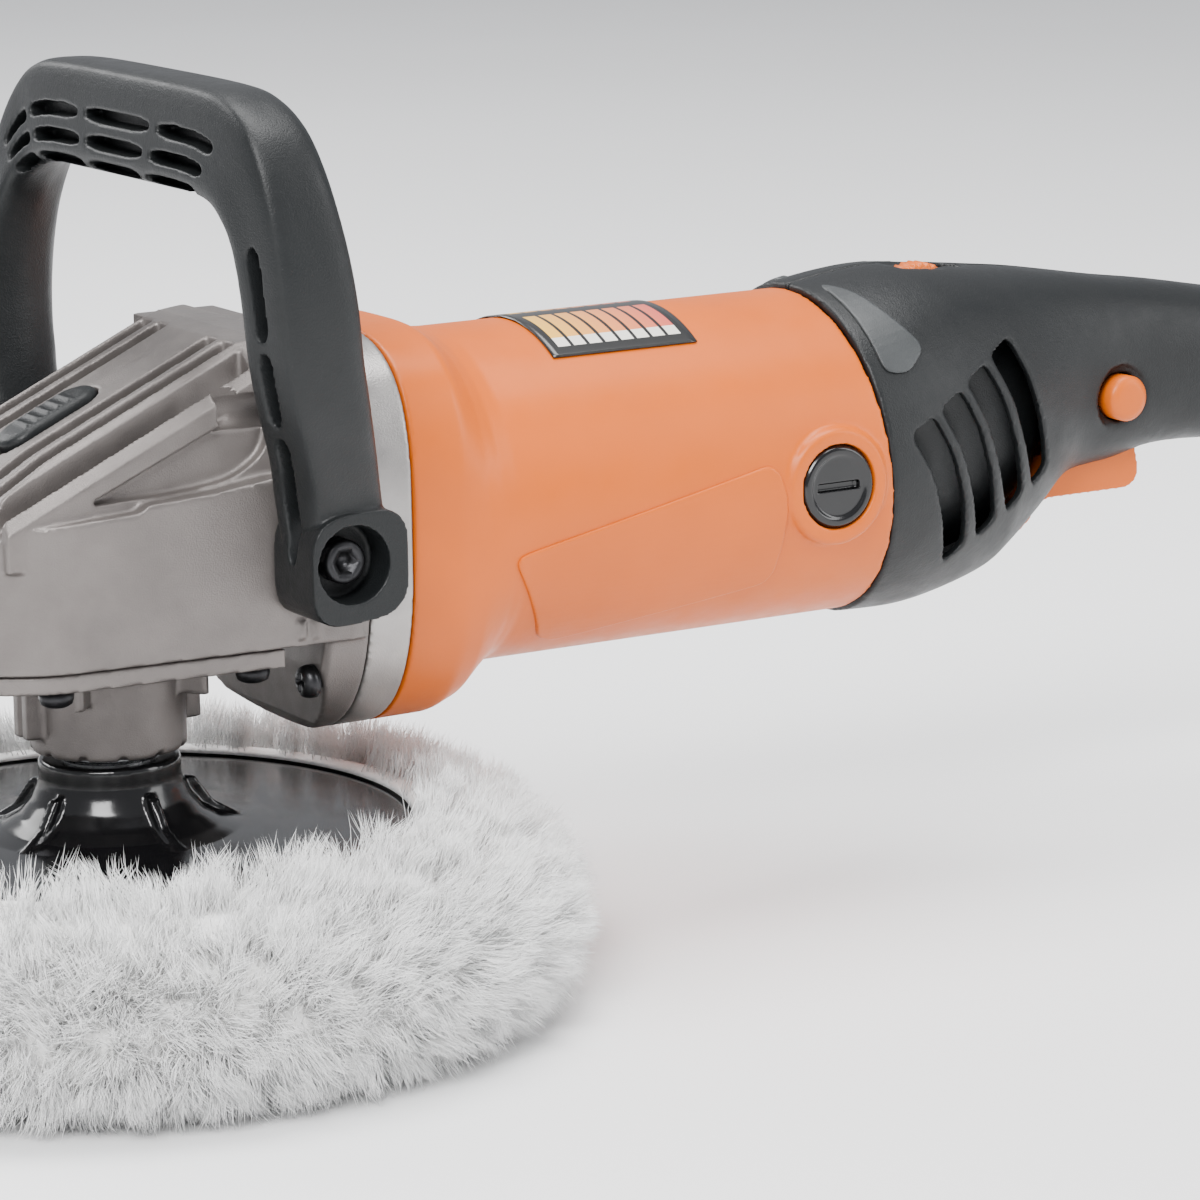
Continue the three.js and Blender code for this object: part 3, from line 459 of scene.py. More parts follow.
def paint_frame():
    """Every CAD node that stays gets the procedural material of its slot."""
    slots = {part["node"]: part["material_slot"] for part in frame["record"]["subparts"]}
    for node, obj in frame["nodes"].items():
        for slot in obj.material_slots:
            slot.link = "OBJECT"
            slot.material = SLOT_PAINT[slots[node]]


paint_frame()

# ---------------------------------------------------------------- shared shapes


def oval(x, half, up, down, z=MOTOR_Z, square=2.0, square_down=None, sides=128):
    """A squared oval across X, with its heights above and below z."""
    points = []
    for i in range(sides):
        c, s = math.cos(2 * math.pi * i / sides), math.sin(2 * math.pi * i / sides)
        power = 2 / (square if s >= 0 or square_down is None else square_down)
        points.append((x, half * math.copysign(abs(c) ** power, c),
                       z + (up if s >= 0 else down) * math.copysign(abs(s) ** power, s)))
    return points


def crest_at(x):
    return CREST["z"] + SLOPE * (x - CREST["x"])


def on_slope(obj, x):
    """Puts a body made about the origin on the crest, square to its slope."""
    rotated(obj, -math.degrees(math.atan(SLOPE)), "Y")
    return shifted(obj, x, 0, crest_at(x))


def long_pill(half, front, rear, low, high, dome=0.0):
    """A round-ended block along X, its top domed a little."""
    outline = []
    for centre, start in ((rear - half, -90), (front + half, 90)):
        outline += [(centre + half * math.cos(math.radians(start + 12 * k)),
                     half * math.sin(math.radians(start + 12 * k))) for k in range(16)]
    middle = (front + rear) / 2
    levels = [(1, low), (1, high - dome), (0.94, high - dome * 0.45), (0.8, high - dome * 0.1), (0.5, high)]
    if not dome:
        levels = levels[:2]
    return loft([[(middle + (x - middle) * s, y * s, z) for x, y in outline] for s, z in levels], "pill")


# ---------------------------------------------------------------- gear head


def case_plan(inset, rear):
    half = [(rear, CASE["side"]), (FLANGE["front"], CASE["side"]), (-32, 37.5), (-47, 27), (CASE["nose"], 12)]
    half = [(min(rear, max(x, CASE["nose"] + inset)), y - inset) for x, y in half]
    return filleted(half + [(x, -y) for x, y in reversed(half)], 9)


def crest_profile(inset, foot):
    """The side outline of the finned top: up the slope and round the front, closed at the foot."""
    slope_end = 30
    front = CREST["x"] - 4 + inset
    arc = [(front, 122), (front + 0.4, 127 - inset * 0.3), (front + 3.2, 131.8 - inset * 0.6),
           (front + 8.5, crest_at(CREST["x"] + 4.5) - 1.1 - inset)]
    rise = [(x, crest_at(x) - inset * math.hypot(1, SLOPE)) for x in (-24, 0, slope_end - 6)]
    return [(front, foot), *arc, *rise, (slope_end, 162.6 - inset), (38.5, 162.2 - inset), (49, 161 - inset),
            (49, foot)]


def gear_case():
    side = [(CASE["nose"], CASE["bottom"]), (FLANGE["split"], CASE["bottom"]), (FLANGE["split"], 132),
            (24, 132), (10, 130), (-6, 128.9), (-8.5, 127.3), (-34, 125.8), (CASE["nose"], 117)]
    lower = keep_inside(prism("y", side, -45, 45), prism("z", case_plan(0, FLANGE["split"]), 90, 140))
    ends = [(-70, 0, crest_at(-70) - CREST["radius"]), (60, 0, crest_at(60) - CREST["radius"])]
    crown = fuse(rod(CREST["radius"], *ends, sides=160), box((27, 60), (-35, 35), (90, 161)))
    upper = keep_inside(prism("y", crest_profile(0, 116), -35, 35), crown)
    for y in FINS:
        drop = CREST["radius"] - math.sqrt(CREST["radius"] ** 2 - y ** 2)
        floor = [(x, z) for x, z in crest_profile(6.2, 121) if x < 24.5]
        groove = prism("y", [*floor, (24.5, crest_at(24.5) - 6.4), (24.5, 190), (-60, 190), (-60, 121)],
                       y - 2.6, y + 2.6)
        carve(upper, *both(shifted(groove, 0, 0, -drop)))
    scoop = filleted([(-18, 129.4), (4, 130.2), (18, 132), (26.5, 137.5), (28.6, 150.5), (-18, 130.6)], 5)
    carve(upper, *both(prism("y", scoop, 32.2, 40)))
    return fuse(lower, upper)


def flange_slab(start, end, chamfer=0.0):
    shape = {"square": 3.3, "square_down": 2.7}
    small = {"half": 42 - chamfer, "up": 46.5 - chamfer, "down": 51 - chamfer, **shape}
    full = {"half": 42, "up": 46.5, "down": 51, **shape}
    return loft([oval(start, **small), oval(start + chamfer + 0.01, **full), oval(end, **full)], "slab")


def gear_housing():
    foot = prism("y", [(FLANGE["front"], 84), (43, 68), (FLANGE["split"], 62), (FLANGE["split"], 170),
                       (FLANGE["front"], 170)], -60, 60)
    body = fuse(gear_case(), keep_inside(flange_slab(FLANGE["front"], FLANGE["split"], 1.2), foot))
    nose_pad = prism("x", filleted([(-7, 101), (7, 101), (7, 112), (-7, 112)], 3), -56, -50)
    fuse(body, keep_inside(nose_pad, box((-55.2, -50), (-10, 10), (90, 120))))
    ribs = [box((x, x + 1.6), (36, 42.5), (93.5, 97.5)) for x in (30, 34)]
    fuse(body, *[piece for rib in ribs for piece in both(rib)])
    room = turned([(0, 80), (31.5, 80), (31.5, 113), (14, 121), (0, 121)], 96)
    carve(body, room, rod(22, (12, 0, MOTOR_Z), (60, 0, MOTOR_Z)), rod(7.3, (0, 0, 115), (0, 0, 130.5)),
          on_slope(long_pill(6.2, -16.2, 14, -8.2, 20), LOCK["middle"]),
          rod(2.9, (LOCK["x"], 0, 112), (LOCK["x"], 0, 145)))
    for y, z in FLANGE_SCREWS[2:]:
        carve(body, rod(5, (14, y, z), (FLANGE["front"], y, z)))
    for x, y in COVER_SCREWS:
        carve(body, rod(2.3, (x, y, 80), (x, y, 105)))
    carve(body, *both(rod(4.3, (BOLT["x"], 33, BOLT["z"]), (BOLT["x"], 60, BOLT["z"]))))
    soften(body, 0.6, 2)
    finish_piece(body, "gear_casting", CAST, "casing", ["gear_housing"])


def bearing_box():
    body = prism("z", case_plan(1.5, 27), 87, CASE["bottom"] - GAP)
    collar = turned([(0, 64), (17.9, 64), (18.65, 64.7), (18.65, 82), (20.5, 89), (0, 89)])
    fuse(body, collar)
    lug = carve(box((15, 22.8), (-3.6, 3.6), (68.5, 88)), box((21.4, 25), (-1, 1), (60, 80)))
    fuse(body, rotated(copy_of(lug), 180, "Z"), lug)
    rib = box((17, 26), (-1, 1), (78, 88))
    for turn in (50, 130, 230, 310):
        fuse(body, rotated(copy_of(rib), turn, "Z"))
    bpy.data.objects.remove(rib)
    carve(body, rod(11.3, (0, 0, 60), (0, 0, 70)), rod(16.3, (0, 0, 68), (0, 0, 95)))
    for k in range(12):
        notch = box((16.6, 20), (-0.9, 0.9), (62, 65.4))
        carve(body, rotated(notch, 15 + 30 * k, "Z"))
    for x, y in COVER_SCREWS:
        carve(body, rod(2.3, (x, y, 80), (x, y, 95)))
    soften(body, 0.6, 3)
    finish_piece(body, "spindle_cover", CAST, "casing", ["bearing_box"])


def bearing_plate():
    spigot = rod(21.6, (36, 0, MOTOR_Z), (55, 0, MOTOR_Z))
    body = fuse(flange_slab(FLANGE["split"] + GAP, FLANGE["rear"]), spigot)
    carve(body, rod(16.3, (50.2, 0, MOTOR_Z), (70, 0, MOTOR_Z)), rod(8, (30, 0, MOTOR_Z), (60, 0, MOTOR_Z)))
    soften(body, 0.6, 2)
    finish_piece(body, "flange_plate", CAST_BRIGHT, "casing", ["bearing_plate"])


def spindle_lock():
    cap = on_slope(long_pill(5.8, -13.6, 13.6, -3, 1.9, dome=1.6), LOCK["middle"])
    grips = []
    for k in range(5):
        ridge = rod(0.45, (-6 + 3 * k, -3.6, 1.95), (-6 + 3 * k, 3.6, 1.95), 12)
        grips.append(on_slope(ridge, LOCK["middle"]))
    pin = rod(2.6, (LOCK["x"], 0, 110), (LOCK["x"], 0, crest_at(LOCK["x"]) - 1.5))
    soften(fuse(cap, pin, *grips), 0.45, 2)
    finish_piece(cap, "lock_button", BLACK, "spindle_lock", ["spindle_lock"])


def lock_spring():
    """The coil under the lock button."""
    s = LOCK_SPRING
    rise = (s["high"] - s["low"]) / (2 * math.pi * s["radius"] * s["turns"])
    rings = []
    for k in range(24 * s["turns"] + 1):
        a = 2 * math.pi * k / 24
        out = Vector((math.cos(a), math.sin(a), 0))
        ahead = Vector((-math.sin(a), math.cos(a), rise))
        side = ahead.normalized().cross(out)
        centre = s["radius"] * out + Vector((0, 0, s["low"] + (s["high"] - s["low"]) * k / (24 * s["turns"])))
        rings.append([centre + x * out + y * side for x, y in circle(s["wire"], 10)])
    coil = on_slope(shifted(loft(rings), s["along"]), LOCK["middle"])
    finish_piece(coil, "lock_spring_coil", SLOT_PAINT["steel"], "casing", ["spindle_lock_spring"])
    lean = math.atan(SLOPE)
    along, square = Vector((math.cos(lean), 0, math.sin(lean))), Vector((-math.sin(lean), 0, math.cos(lean)))
    seat = Vector((LOCK["middle"], 0, crest_at(LOCK["middle"]))) + s["along"] * along
    seat += (s["low"] - s["wire"]) * square
    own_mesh(coil)


gear_housing()
bearing_box()
bearing_plate()
spindle_lock()
lock_spring()

# ---------------------------------------------------------------- motor housing


def seam_side(behind, offset=0.0):
    edge = lambda z: BARREL["seam"] + offset - (z - MOTOR_Z) * BARREL["tilt"]
    far = 430 if behind else 0
    return prism("y", [(edge(30), 30), (far, 30), (far, 200), (edge(200), 200)], -90, 90)


def barrel_shape(grow=0.0):
    r = BARREL["radius"] + grow
    g = grow
    rows = [(FLANGE["rear"] + GAP, 42 + g, 46.5 + g, 51 + g, 3.3, 2.7),
            (75, 42 + g, 46.2 + g, 50.9 + g, 3.2, 2.7),
            (76.5, 41.9 + g, 45.6 + g, 50.6 + g, 3.1, 2.7),
            (82, r, 42.7 + g, 49 + g, 2.4, 2.5),
            (86, r, 41.8 + g, 46.2 + g, 2.1, 2.25),
            (90, r, r, 43.3 + g, 2, 2.08),
            (93.5, r, r, 41.9 + g, 2, 2),
            (97, r, r, r, 2, 2),
            (206, r, r, r, 2, 2)]
    return loft([oval(x, half, up, down, square=s, square_down=sd) for x, half, up, down, s, sd in rows],
                "barrel")


def motor_housing():
    body = barrel_shape()
    boss = turned([(0, 33), (BRUSH["boss"], 33), (BRUSH["boss"], BRUSH["face"] - 1), (BRUSH["boss"] - 1,
                   BRUSH["face"]), (0, BRUSH["face"])], 96)
    shifted(rotated(boss, -90, "X"), BRUSH["x"], 0, BRUSH["z"])
    fuse(body, *both(boss))
    cap_well = rod(BRUSH["cap"] + GAP, (BRUSH["x"], 28, BRUSH["z"]), (BRUSH["x"], 60, BRUSH["z"]), 96)
    bore = rod(BARREL["bore"], (50, 0, MOTOR_Z), (230, 0, MOTOR_Z), 96)
    carve(body, bore, *both(cap_well))
    keep_inside(body, seam_side(False))
    seat = carve(rod(14.5, (190, 0, MOTOR_Z), (207, 0, MOTOR_Z)),
                 rod(11.4, (180, 0, MOTOR_Z), (220, 0, MOTOR_Z)))
    arm = carve(box((190, 194), (-4, 4), (MOTOR_Z - 39.5, MOTOR_Z + 39.5)),
                rod(13, (180, 0, MOTOR_Z), (200, 0, MOTOR_Z)))
    soften(fuse(body, arm, seat), 0.7, 2)
    finish_piece(body, "motor_shell", ORANGE, "casing", ["motor_housing"])


def side_panels():
    """The slightly raised plain panel on each side of the barrel."""
    panel = filleted([(88.6, 105.3), (97, 107.3), (163, 120.8), (166.6, 111), (165.6, 89.2), (108, 80),
                      (102.8, 82)], 4)
    for side, name in ((-1, "side_panel_left"), (1, "side_panel_right")):
        skin = carve(barrel_shape(0.7), barrel_shape(-1.2))
        keep_inside(skin, prism("y", panel, *sorted((20 * side, 60 * side))))
        soften(skin, 0.36, 3)
        finish_piece(skin, name, ORANGE, "casing")


def brush_cap(side, node):
    r, face = BRUSH["cap"], BRUSH["face"]
    cap = turned([(0, 38.2), (r, 38.2), (r, face - 0.9), (r - 0.8, face), (r - 2.2, face),
                  (r - 2.8, face - 0.5), (0, face - 0.5)], 96)
    carve(cap, box((-6.2, 6.2), (-1.1, 1.1), (face - 2.2, face + 1)))
    rotated(cap, -90, "X")
    if side < 0:
        rotated(cap, 180, "Z")
    shifted(cap, BRUSH["x"], 0, BRUSH["z"])
    soften(cap, 0.3, 1)
    finish_piece(cap, f"{node}_detail", GLOSS, "casing", [node])


def rating_label():
    radius = BARREL["radius"] + 0.3
    rings = []
    for x in np.linspace(111, 152, 24):
        arc = [math.radians(a) for a in np.linspace(-33.5, 33.5, 49)]
        outer = [(x, (radius + 0.3) * math.sin(a), MOTOR_Z + (radius + 0.3) * math.cos(a)) for a in arc]
        inner = [(x, radius * math.sin(a), MOTOR_Z + radius * math.cos(a)) for a in reversed(arc)]
        rings.append((outer + inner)[::-1])
    finish_piece(loft(rings), "label_sheet", LABEL, "casing", ["rating_label"])


motor_housing()
side_panels()
brush_cap(-1, "brush_cap_left")
brush_cap(1, "brush_cap_right")
rating_label()

# ---------------------------------------------------------------- D-handle

# Outer y and z, inner y and z, front and rear x, and how much further forward the right arm is.
LOOP = [(59.5, 108, 44.5, 108, 24.5, 46.5, 0), (60.3, 118, 45, 118, 23.5, 45.5, 4),
        (61.5, 128, 46, 128, 21.5, 43.5, 13), (65.5, 139, 50.5, 139, 18, 40.3, 20.5),
        (69.3, 151, 54.3, 151, 13.5, 37, 17.5), (71.4, 163, 56.4, 162, 10.5, 34.4, 14.2),
        (72.2, 175, 57.2, 173, 9, 33, 11.5), (71.9, 187, 56.8, 182.5, 8, 31.2, 8),
        (70.4, 198.5, 55, 190, 7.2, 29.2, 4), (67, 208.5, 51, 195, 6.6, 27.8, 1.5),
        (61, 216.5, 45.5, 197.8, 6.4, 27, 0), (51.5, 221.6, 36, 199, 6.3, 26.6, 0),
        (38, 223.6, 24, 199.2, 6.2, 26.4, 0), (0, 224, 0, 199.3, 6, 26.2, 0)]
LOOP_SECTION = [(0.24, 0.02), (0.55, 0), (0.86, 0.03), (1, 0.17), (0.98, 0.42), (0.84, 0.74), (0.55, 0.95),
                (0.3, 1), (0.1, 0.98), (0, 0.86), (0.06, 0.5), (0.14, 0.13)]
LOOP_STEPS = 8


def loop_rows():
    left = [(-oy, oz, -iy, iz, front, rear) for oy, oz, iy, iz, front, rear, _ in LOOP]
    right = [(oy, oz, iy, iz, front - shift, rear - shift) for oy, oz, iy, iz, front, rear, shift in
             reversed(LOOP[:-1])]
    return smooth_rows(left + right, LOOP_STEPS)


ROWS = loop_rows()


def loop_point(row, depth, across):
    oy, oz, iy, iz, front, rear = row
    return (front + (rear - front) * depth, oy + (iy - oy) * across, oz + (iz - oz) * across)


def loop_slot(start, end, across, half):
    """A round-ended groove in the front of the loop, between two stations along it."""
    first, last = round(start * LOOP_STEPS), round(end * LOOP_STEPS)
    rings = []
    for k in range(first, last + 1):
        run = min(k - first, last - k)
        wide = half * (0.45 if run == 0 else 0.85 if run == 1 else 1)
        corners = ((-0.25, across - wide), (0.3, across - wide), (0.3, across + wide), (-0.25, across + wide))
        rings.append([loop_point(ROWS[k], d, a) for d, a in corners])
    return loft(rings, "slot")


def d_handle():
    section = smooth_rows(LOOP_SECTION, 4, closed=True)
    body = loft([[loop_point(row, *p) for p in section] for row in ROWS], "loop")
    corners = [(LUG["front"], LUG["low"]), (LUG["rear"], LUG["low"] + 2.4), (LUG["rear"], LUG["high"]),
               (LUG["front"], LUG["high"] - 1.5)]
    lug = prism("y", filleted(corners, 9), LUG["inner"], LUG["outer"])
    fuse(body, *both(lug))
    well = rod(9.2, (BOLT["x"], BOLT["floor"], BOLT["z"]), (BOLT["x"], 80, BOLT["z"]), 96)
    hole = rod(4.3, (BOLT["x"], 40, BOLT["z"]), (BOLT["x"], 60, BOLT["z"]))
    carve(body, *both(well), *both(hole))
    middle = len(LOOP) - 1
    for across, half in ((0.46, 0.066), (0.71, 0.066), (0.93, 0.05)):
        for start, end in ((middle - 2.4, middle - 0.66), (middle - 0.55, middle + 0.55),
                           (middle + 0.66, middle + 2.4), (middle + 2.6, middle + 4.1)):
            carve(body, loop_slot(start, end, across, half))
    for start, end in ((0.6, 3.45), (3.75, 5.2), (5.5, 7.5)):
        carve(body, loop_slot(start, end, 0.52, 0.13),
              loop_slot(2 * middle - end, 2 * middle - start, 0.52, 0.13))
    soften(body, 0.5, 2)
    finish_piece(body, "loop_handle", BLACK, "casing", ["d_handle"])


def socket_bolt(side, node):
    bolt = turned([(0, -19.5), (3.95, -19.5), (3.95, 0.2), (5.2, 0.3), (5.2, 4.7), (4.6, 5.3), (0, 5.3)], 64)
    carve(bolt, rod(2.9, (0, 0, 2), (0, 0, 9), 6))
    rotated(bolt, -90, "X")
    if side < 0:
        rotated(bolt, 180, "Z")
    shifted(bolt, BOLT["x"], side * BOLT["floor"], BOLT["z"])
    finish_piece(bolt, f"{node}_detail", SLOT_PAINT["black_screw"], "casing", [node])


d_handle()
socket_bolt(-1, "handle_bolt_left")
socket_bolt(1, "handle_bolt_right")

# ---------------------------------------------------------------- rear handle

# x, top and bottom heights, half width and squareness of the grip.
GRIP = [(186, 156.1, 72.9, 41.6, 2), (206, 159.4, 72, 40.6, 2.1), (222, 160.4, 72.4, 37.6, 2.2),
        (242, 158.3, 77, 31, 2.4), (251, 157.3, 81.5, 27.6, 2.4), (262, 156, 89.5, 23.4, 2.4),
        (274, 154, 99.5, 19.6, 2.5), (290, 151.2, 102, 17.2, 2.6), (309, 148.3, 105, 16.4, 2.6),
        (344, 142, 102.5, 16, 2.6), (370, 139.5, 97, 17.4, 2.5), (384, 139, 92.5, 18.8, 2.5),
        (390, 136.5, 95, 16.8, 2.4), (392, 133, 99, 13.5, 2.3)]
INLET_Z = 116


def grip_shape(inset=0.0, end=392.0):
    rings = []
    for x, top, bottom, half, square in smooth_rows(GRIP, 5):
        if x <= end:
            rise = (top - bottom) / 2 - inset
            rings.append(oval(x, half - inset, rise, rise, (top + bottom) / 2, square, sides=96))
    return loft(rings, "grip")


def air_slot(index):
    outline = [(204.4, 123.3), (212.4, 126.8), (219, 116), (223.6, 104), (226.9, 91.2), (220.7, 87.3),
               (216.4, 99.5), (211.4, 112)]
    return prism("y", filleted([(x + 10.4 * index, z + 5.15 * index) for x, z in outline], 2.2), 5, 60)


def rear_handle(side, node):
    body = grip_shape()
    room = keep_inside(grip_shape(2.8, 386), box((0, 385.7), (-80, 80), (0, 200)))
    carve(body, room)
    for x, z in GRIP_SCREWS:
        post = keep_inside(rod(5 if side > 0 else 4, (x, 0, z), (x, side * 60, z)), grip_shape())
        fuse(body, post)
    half = box((150, 420), (GAP / 2, 80) if side > 0 else (-80, -GAP / 2), (40, 200))
    keep_inside(body, half, seam_side(True, GAP))
    for index in range(4):
        slot = air_slot(index)
        carve(body, slot if side > 0 else moved(slot, Matrix.Diagonal((1, -1, 1, 1))))
    dish = rod(30, (DIAL["x"], -8, DIAL["z"] + 39.4), (DIAL["x"], 8, DIAL["z"] + 39.4), 128)
    carve(body, box((TRIGGER["front"] - 1, TRIGGER["rear"] + 1.5), (-6.4, 6.4), (80, 109)),
          box((DIAL["x"] - 11.6, DIAL["x"] + 11.6), (-4.1, 4.1), (140, 170)), dish,
          rod(8.5, (380, 0, INLET_Z), (400, 0, INLET_Z)))
    for x, z in GRIP_SCREWS:
        if side > 0:
            carve(body, rod(1.7, (x, -1, z), (x, 12, z)), rod(3.6, (x, 10, z), (x, 60, z)))
        else:
            carve(body, rod(1.7, (x, 1, z), (x, -11, z)))
    if side < 0:
        carve(body, rod(6.4, (BUTTON["x"], -40, BUTTON["z"]), (BUTTON["x"], -5, BUTTON["z"])),
              rod(8.6, (BUTTON["x"], -40, BUTTON["z"]), (BUTTON["x"], -15.9, BUTTON["z"])))
    soften(body, 0.7, 3)
    finish_piece(body, f"{node}_shell", BLACK, "casing", [node])


def seam_accents():
    """The lighter leaf-shaped inlays beside the top of the seam."""
    leaf = filleted([(197.5, 158), (203, 157), (213.5, 143.6), (206.6, 138), (199.6, 138.6)], 3)
    for side, name in ((-1, "accent_left"), (1, "accent_right")):
        skin = carve(grip_shape(-0.55), grip_shape(1.2))
        keep_inside(skin, prism("y", leaf, *sorted((4 * side, 60 * side))), seam_side(True, 1.2))
        soften(skin, 0.34, 2)
        finish_piece(skin, name, ACCENT, "casing")


def dust_screens():
    """The dark screens behind the air slots."""
    for side, name in ((-1, "dust_screen_left"), (1, "dust_screen_right")):
        skin = carve(grip_shape(9), grip_shape(10.2))
        keep_inside(skin, box((201, 262), tuple(sorted((9 * side, 60 * side))), (82, 150)))
        finish_piece(skin, name, BLACK, "casing")


def trigger():
    outline = [(-3, -13.1), (0, -14), (3.5, -11.2), (8, -5.8), (36, -5.8), (39, -3.4), (39, 1), (37.5, 7.5),
               (10.5, 7.5), (1.5, 4), (-3, 0)]
    body = prism("y", filleted(outline, 3), -6, 6)
    for k in range(8):
        fuse(body, rod(0.6, (12 + 3 * k, -4.6, -5.7), (12 + 3 * k, 4.6, -5.7), 12))
    fuse(body, rod(1.6, (0, -7.6, 0), (0, 7.6, 0)))
    shifted(body, TRIGGER["x"], 0, TRIGGER["z"])
    soften(body, 0.4, 2)
    finish_piece(body, "trigger_blade", ORANGE, "trigger", ["trigger"])


def lock_on_button():
    r = BUTTON["radius"]
    body = turned([(0, 10), (r, 10), (r, 19.4), (r - 0.8, 20.3), (r - 2.4, 20.8), (0, 20.4)], 64)
    shifted(rotated(body, 90, "X"), BUTTON["x"], 0, BUTTON["z"])
    finish_piece(body, "lock_on_cap", ORANGE, "lock_on_button", ["lock_on_button"])


def speed_dial():
    teeth, steps = 32, 8
    rings = []
    for y, scale in ((-3.5, 0.93), (-2.9, 1), (2.9, 1), (3.5, 0.93)):
        ring = []
        for i in range(teeth * steps):
            r = (DIAL["radius"] - 0.32 + 0.3 * math.cos(2 * math.pi * i / steps)) * scale
            a = 2 * math.pi * i / (teeth * steps)
            ring.append((r * math.sin(a), y, r * math.cos(a)))
        rings.append(ring)
    body = fuse(loft(rings), rod(2, (0, -7.4, 0), (0, 7.4, 0)))
    shifted(body, DIAL["x"], 0, DIAL["z"])
    finish_piece(body, "dial_wheel", ORANGE, "speed_dial", ["speed_dial"])


def cord_bush():
    profile = [(4.2, 381), (10.3, 381), (10.3, 385.3), (8.2, 385.3), (8.2, 392.4), (9.6, 392.4), (9.6, 394),
               (8.6, 395.5), (4.8, 395.5), (4.2, 394.9)]
    body = shifted(rotated(ring_solid(profile, 96), 90, "Y"), 0, 0, INLET_Z)
    finish_piece(body, "inlet_bush", SLOT_PAINT["rubber"], "casing", ["cord_bush"])


rear_handle(-1, "rear_handle_left")
rear_handle(1, "rear_handle_right")
seam_accents()
dust_screens()
trigger()
lock_on_button()
speed_dial()
cord_bush()

# ---------------------------------------------------------------- screws


def screw(head, shank, deep):
    """A pan-head screw along Z from its seat at the origin, its head below."""
    body = turned([(0, -deep), (head * 0.62, -deep), (head * 0.9, -deep * 0.82), (head, -deep * 0.45),
                   (head, 0), (shank[0], 0.01), (shank[0], shank[1]), (0, shank[1])], 48)
    cross = fuse(box((-0.55, 0.55), (-head * 0.55, head * 0.55), (-deep - 1, -deep * 0.45)),
                 box((-head * 0.55, head * 0.55), (-0.55, 0.55), (-deep - 1, -deep * 0.45)))
    return carve(body, cross)


def screws():
    paint = SLOT_PAINT["black_screw"]
    rows = [(f"cover_screw_{i + 1}", screw(4.1, (2, 16.3), 3.7), None, (x, y, 86.7))
            for i, (x, y) in enumerate(COVER_SCREWS)]
    rows += [(f"flange_screw_{i + 1}", screw(4, (2, 36), 3.5), (90, "Y"), (FLANGE["front"] - GAP, y, z))
             for i, (y, z) in enumerate(FLANGE_SCREWS)]
    rows += [(f"handle_screw_{i + 1}", screw(3.1, (1.3, 19.3), 2.3), (90, "X"), (x, 10.3, z))
             for i, (x, z) in enumerate(GRIP_SCREWS)]
    for node, body, turn, place in rows:
        if turn:
            rotated(body, *turn)
        finish_piece(shifted(body, *place), f"{node}_detail", paint, "casing", [node])


screws()

# ---------------------------------------------------------------- pad


def backing_plate():
    r, top, low = PLATE["radius"], PLATE["top"], PLATE["bottom"]
    hub, hub_top = PLATE["hub_radius"], PLATE["hub_top"]
    profile = [(11.3, low), (r - 0.6, low), (r, low + 0.6), (r, top - 1.4), (r - 1.4, top), (76, top),
               (74.8, top - 0.5), (72, top - 0.5), (70.8, top), (40, top), (31, top + 0.4), (26, top + 1.6),
               (22, top + 4), (19, top + 7.6), (17.5, top + 11), (hub, top + 13), (hub, hub_top - 0.7),
               (hub - 0.7, hub_top), (12, hub_top), (11.3, hub_top - 0.7)]
    body = ring_solid(profile, 160)
    rib = [(15, top - 2), (31, top - 2), (31, top + 0.9), (25, top + 4.4), (20.5, top + 10.8),
           (15, top + 11.5)]
    for k in range(5):
        fuse(body, rotated(prism("y", rib, -1.3, 1.3), 72 * k - 85, "Z"))
    soften(body, 0.6, 3)
    finish_piece(body, "plate_detail", GLOSS, "spindle", ["backing_plate"])


# The skin that the pile grows from, as (radius, height) from the floor's middle up to the lip.
SKIN = [(0, 5.5), (60, 5.5), (84, 5.6), (95, 8), (102.5, 14), (105, 21.5), (103, 29.5), (97, 36), (90, 40.5),
        (82, 44), (75.5, 45.9)]


def bonnet_skin():
    inner = [(73, 45.6), (72, PLATE["top"] + GAP + 0.1), (PLATE["radius"] + GAP, PLATE["top"] + GAP + 0.1),
             (PLATE["radius"] + GAP, 8), (0, 8)]
    outer = [tuple(p) for p in smooth_rows(SKIN, 4)]
    body = turned(outer + inner, 180)
    finish_piece(body, "bonnet_skin", WOOL, "spindle", ["wool_bonnet"])


def tuft_roots(count, rng):
    """Seeded tufts spread evenly over the skin: the root, the outward normal and two ways along the skin."""
    curve = np.array(smooth_rows(SKIN, 12))
    curve = curve[np.searchsorted(curve[:, 0], 55):]
    steps = np.diff(curve, axis=0)
    weight = np.hypot(*steps.T) * (curve[:-1, 0] + curve[1:, 0])
    pick = np.searchsorted(np.cumsum(weight) / weight.sum(), rng.random(count))
    place = curve[pick] + steps[pick] * rng.random(count)[:, None]
    normal = np.stack([steps[pick][:, 1], -steps[pick][:, 0]], axis=1)
    normal /= np.linalg.norm(normal, axis=1)[:, None]
    turn = rng.random(count) * 2 * math.pi
    c, s = np.cos(turn), np.sin(turn)
    root = np.stack([place[:, 0] * c, place[:, 0] * s, place[:, 1]], axis=1)
    out = np.stack([normal[:, 0] * c, normal[:, 0] * s, normal[:, 1]], axis=1)
    around = np.stack([-s, c, np.zeros(count)], axis=1)
    return root, out, around, np.cross(out, around), turn, place


def wave(turn, place, seed):
    """A smooth field over the pad that makes neighbouring tufts lean alike."""
    return (np.sin(turn * 9 + place[:, 1] * 0.2 + seed) + np.sin(turn * 17 - place[:, 1] * 0.3 + 2.1 * seed)
            + np.sin(turn * 31 + place[:, 0] * 0.2 + 3.7 * seed)) / 3


def unit(rows):
    return rows / np.linalg.norm(rows, axis=1)[:, None]


def column(values):
    return values[:, None]


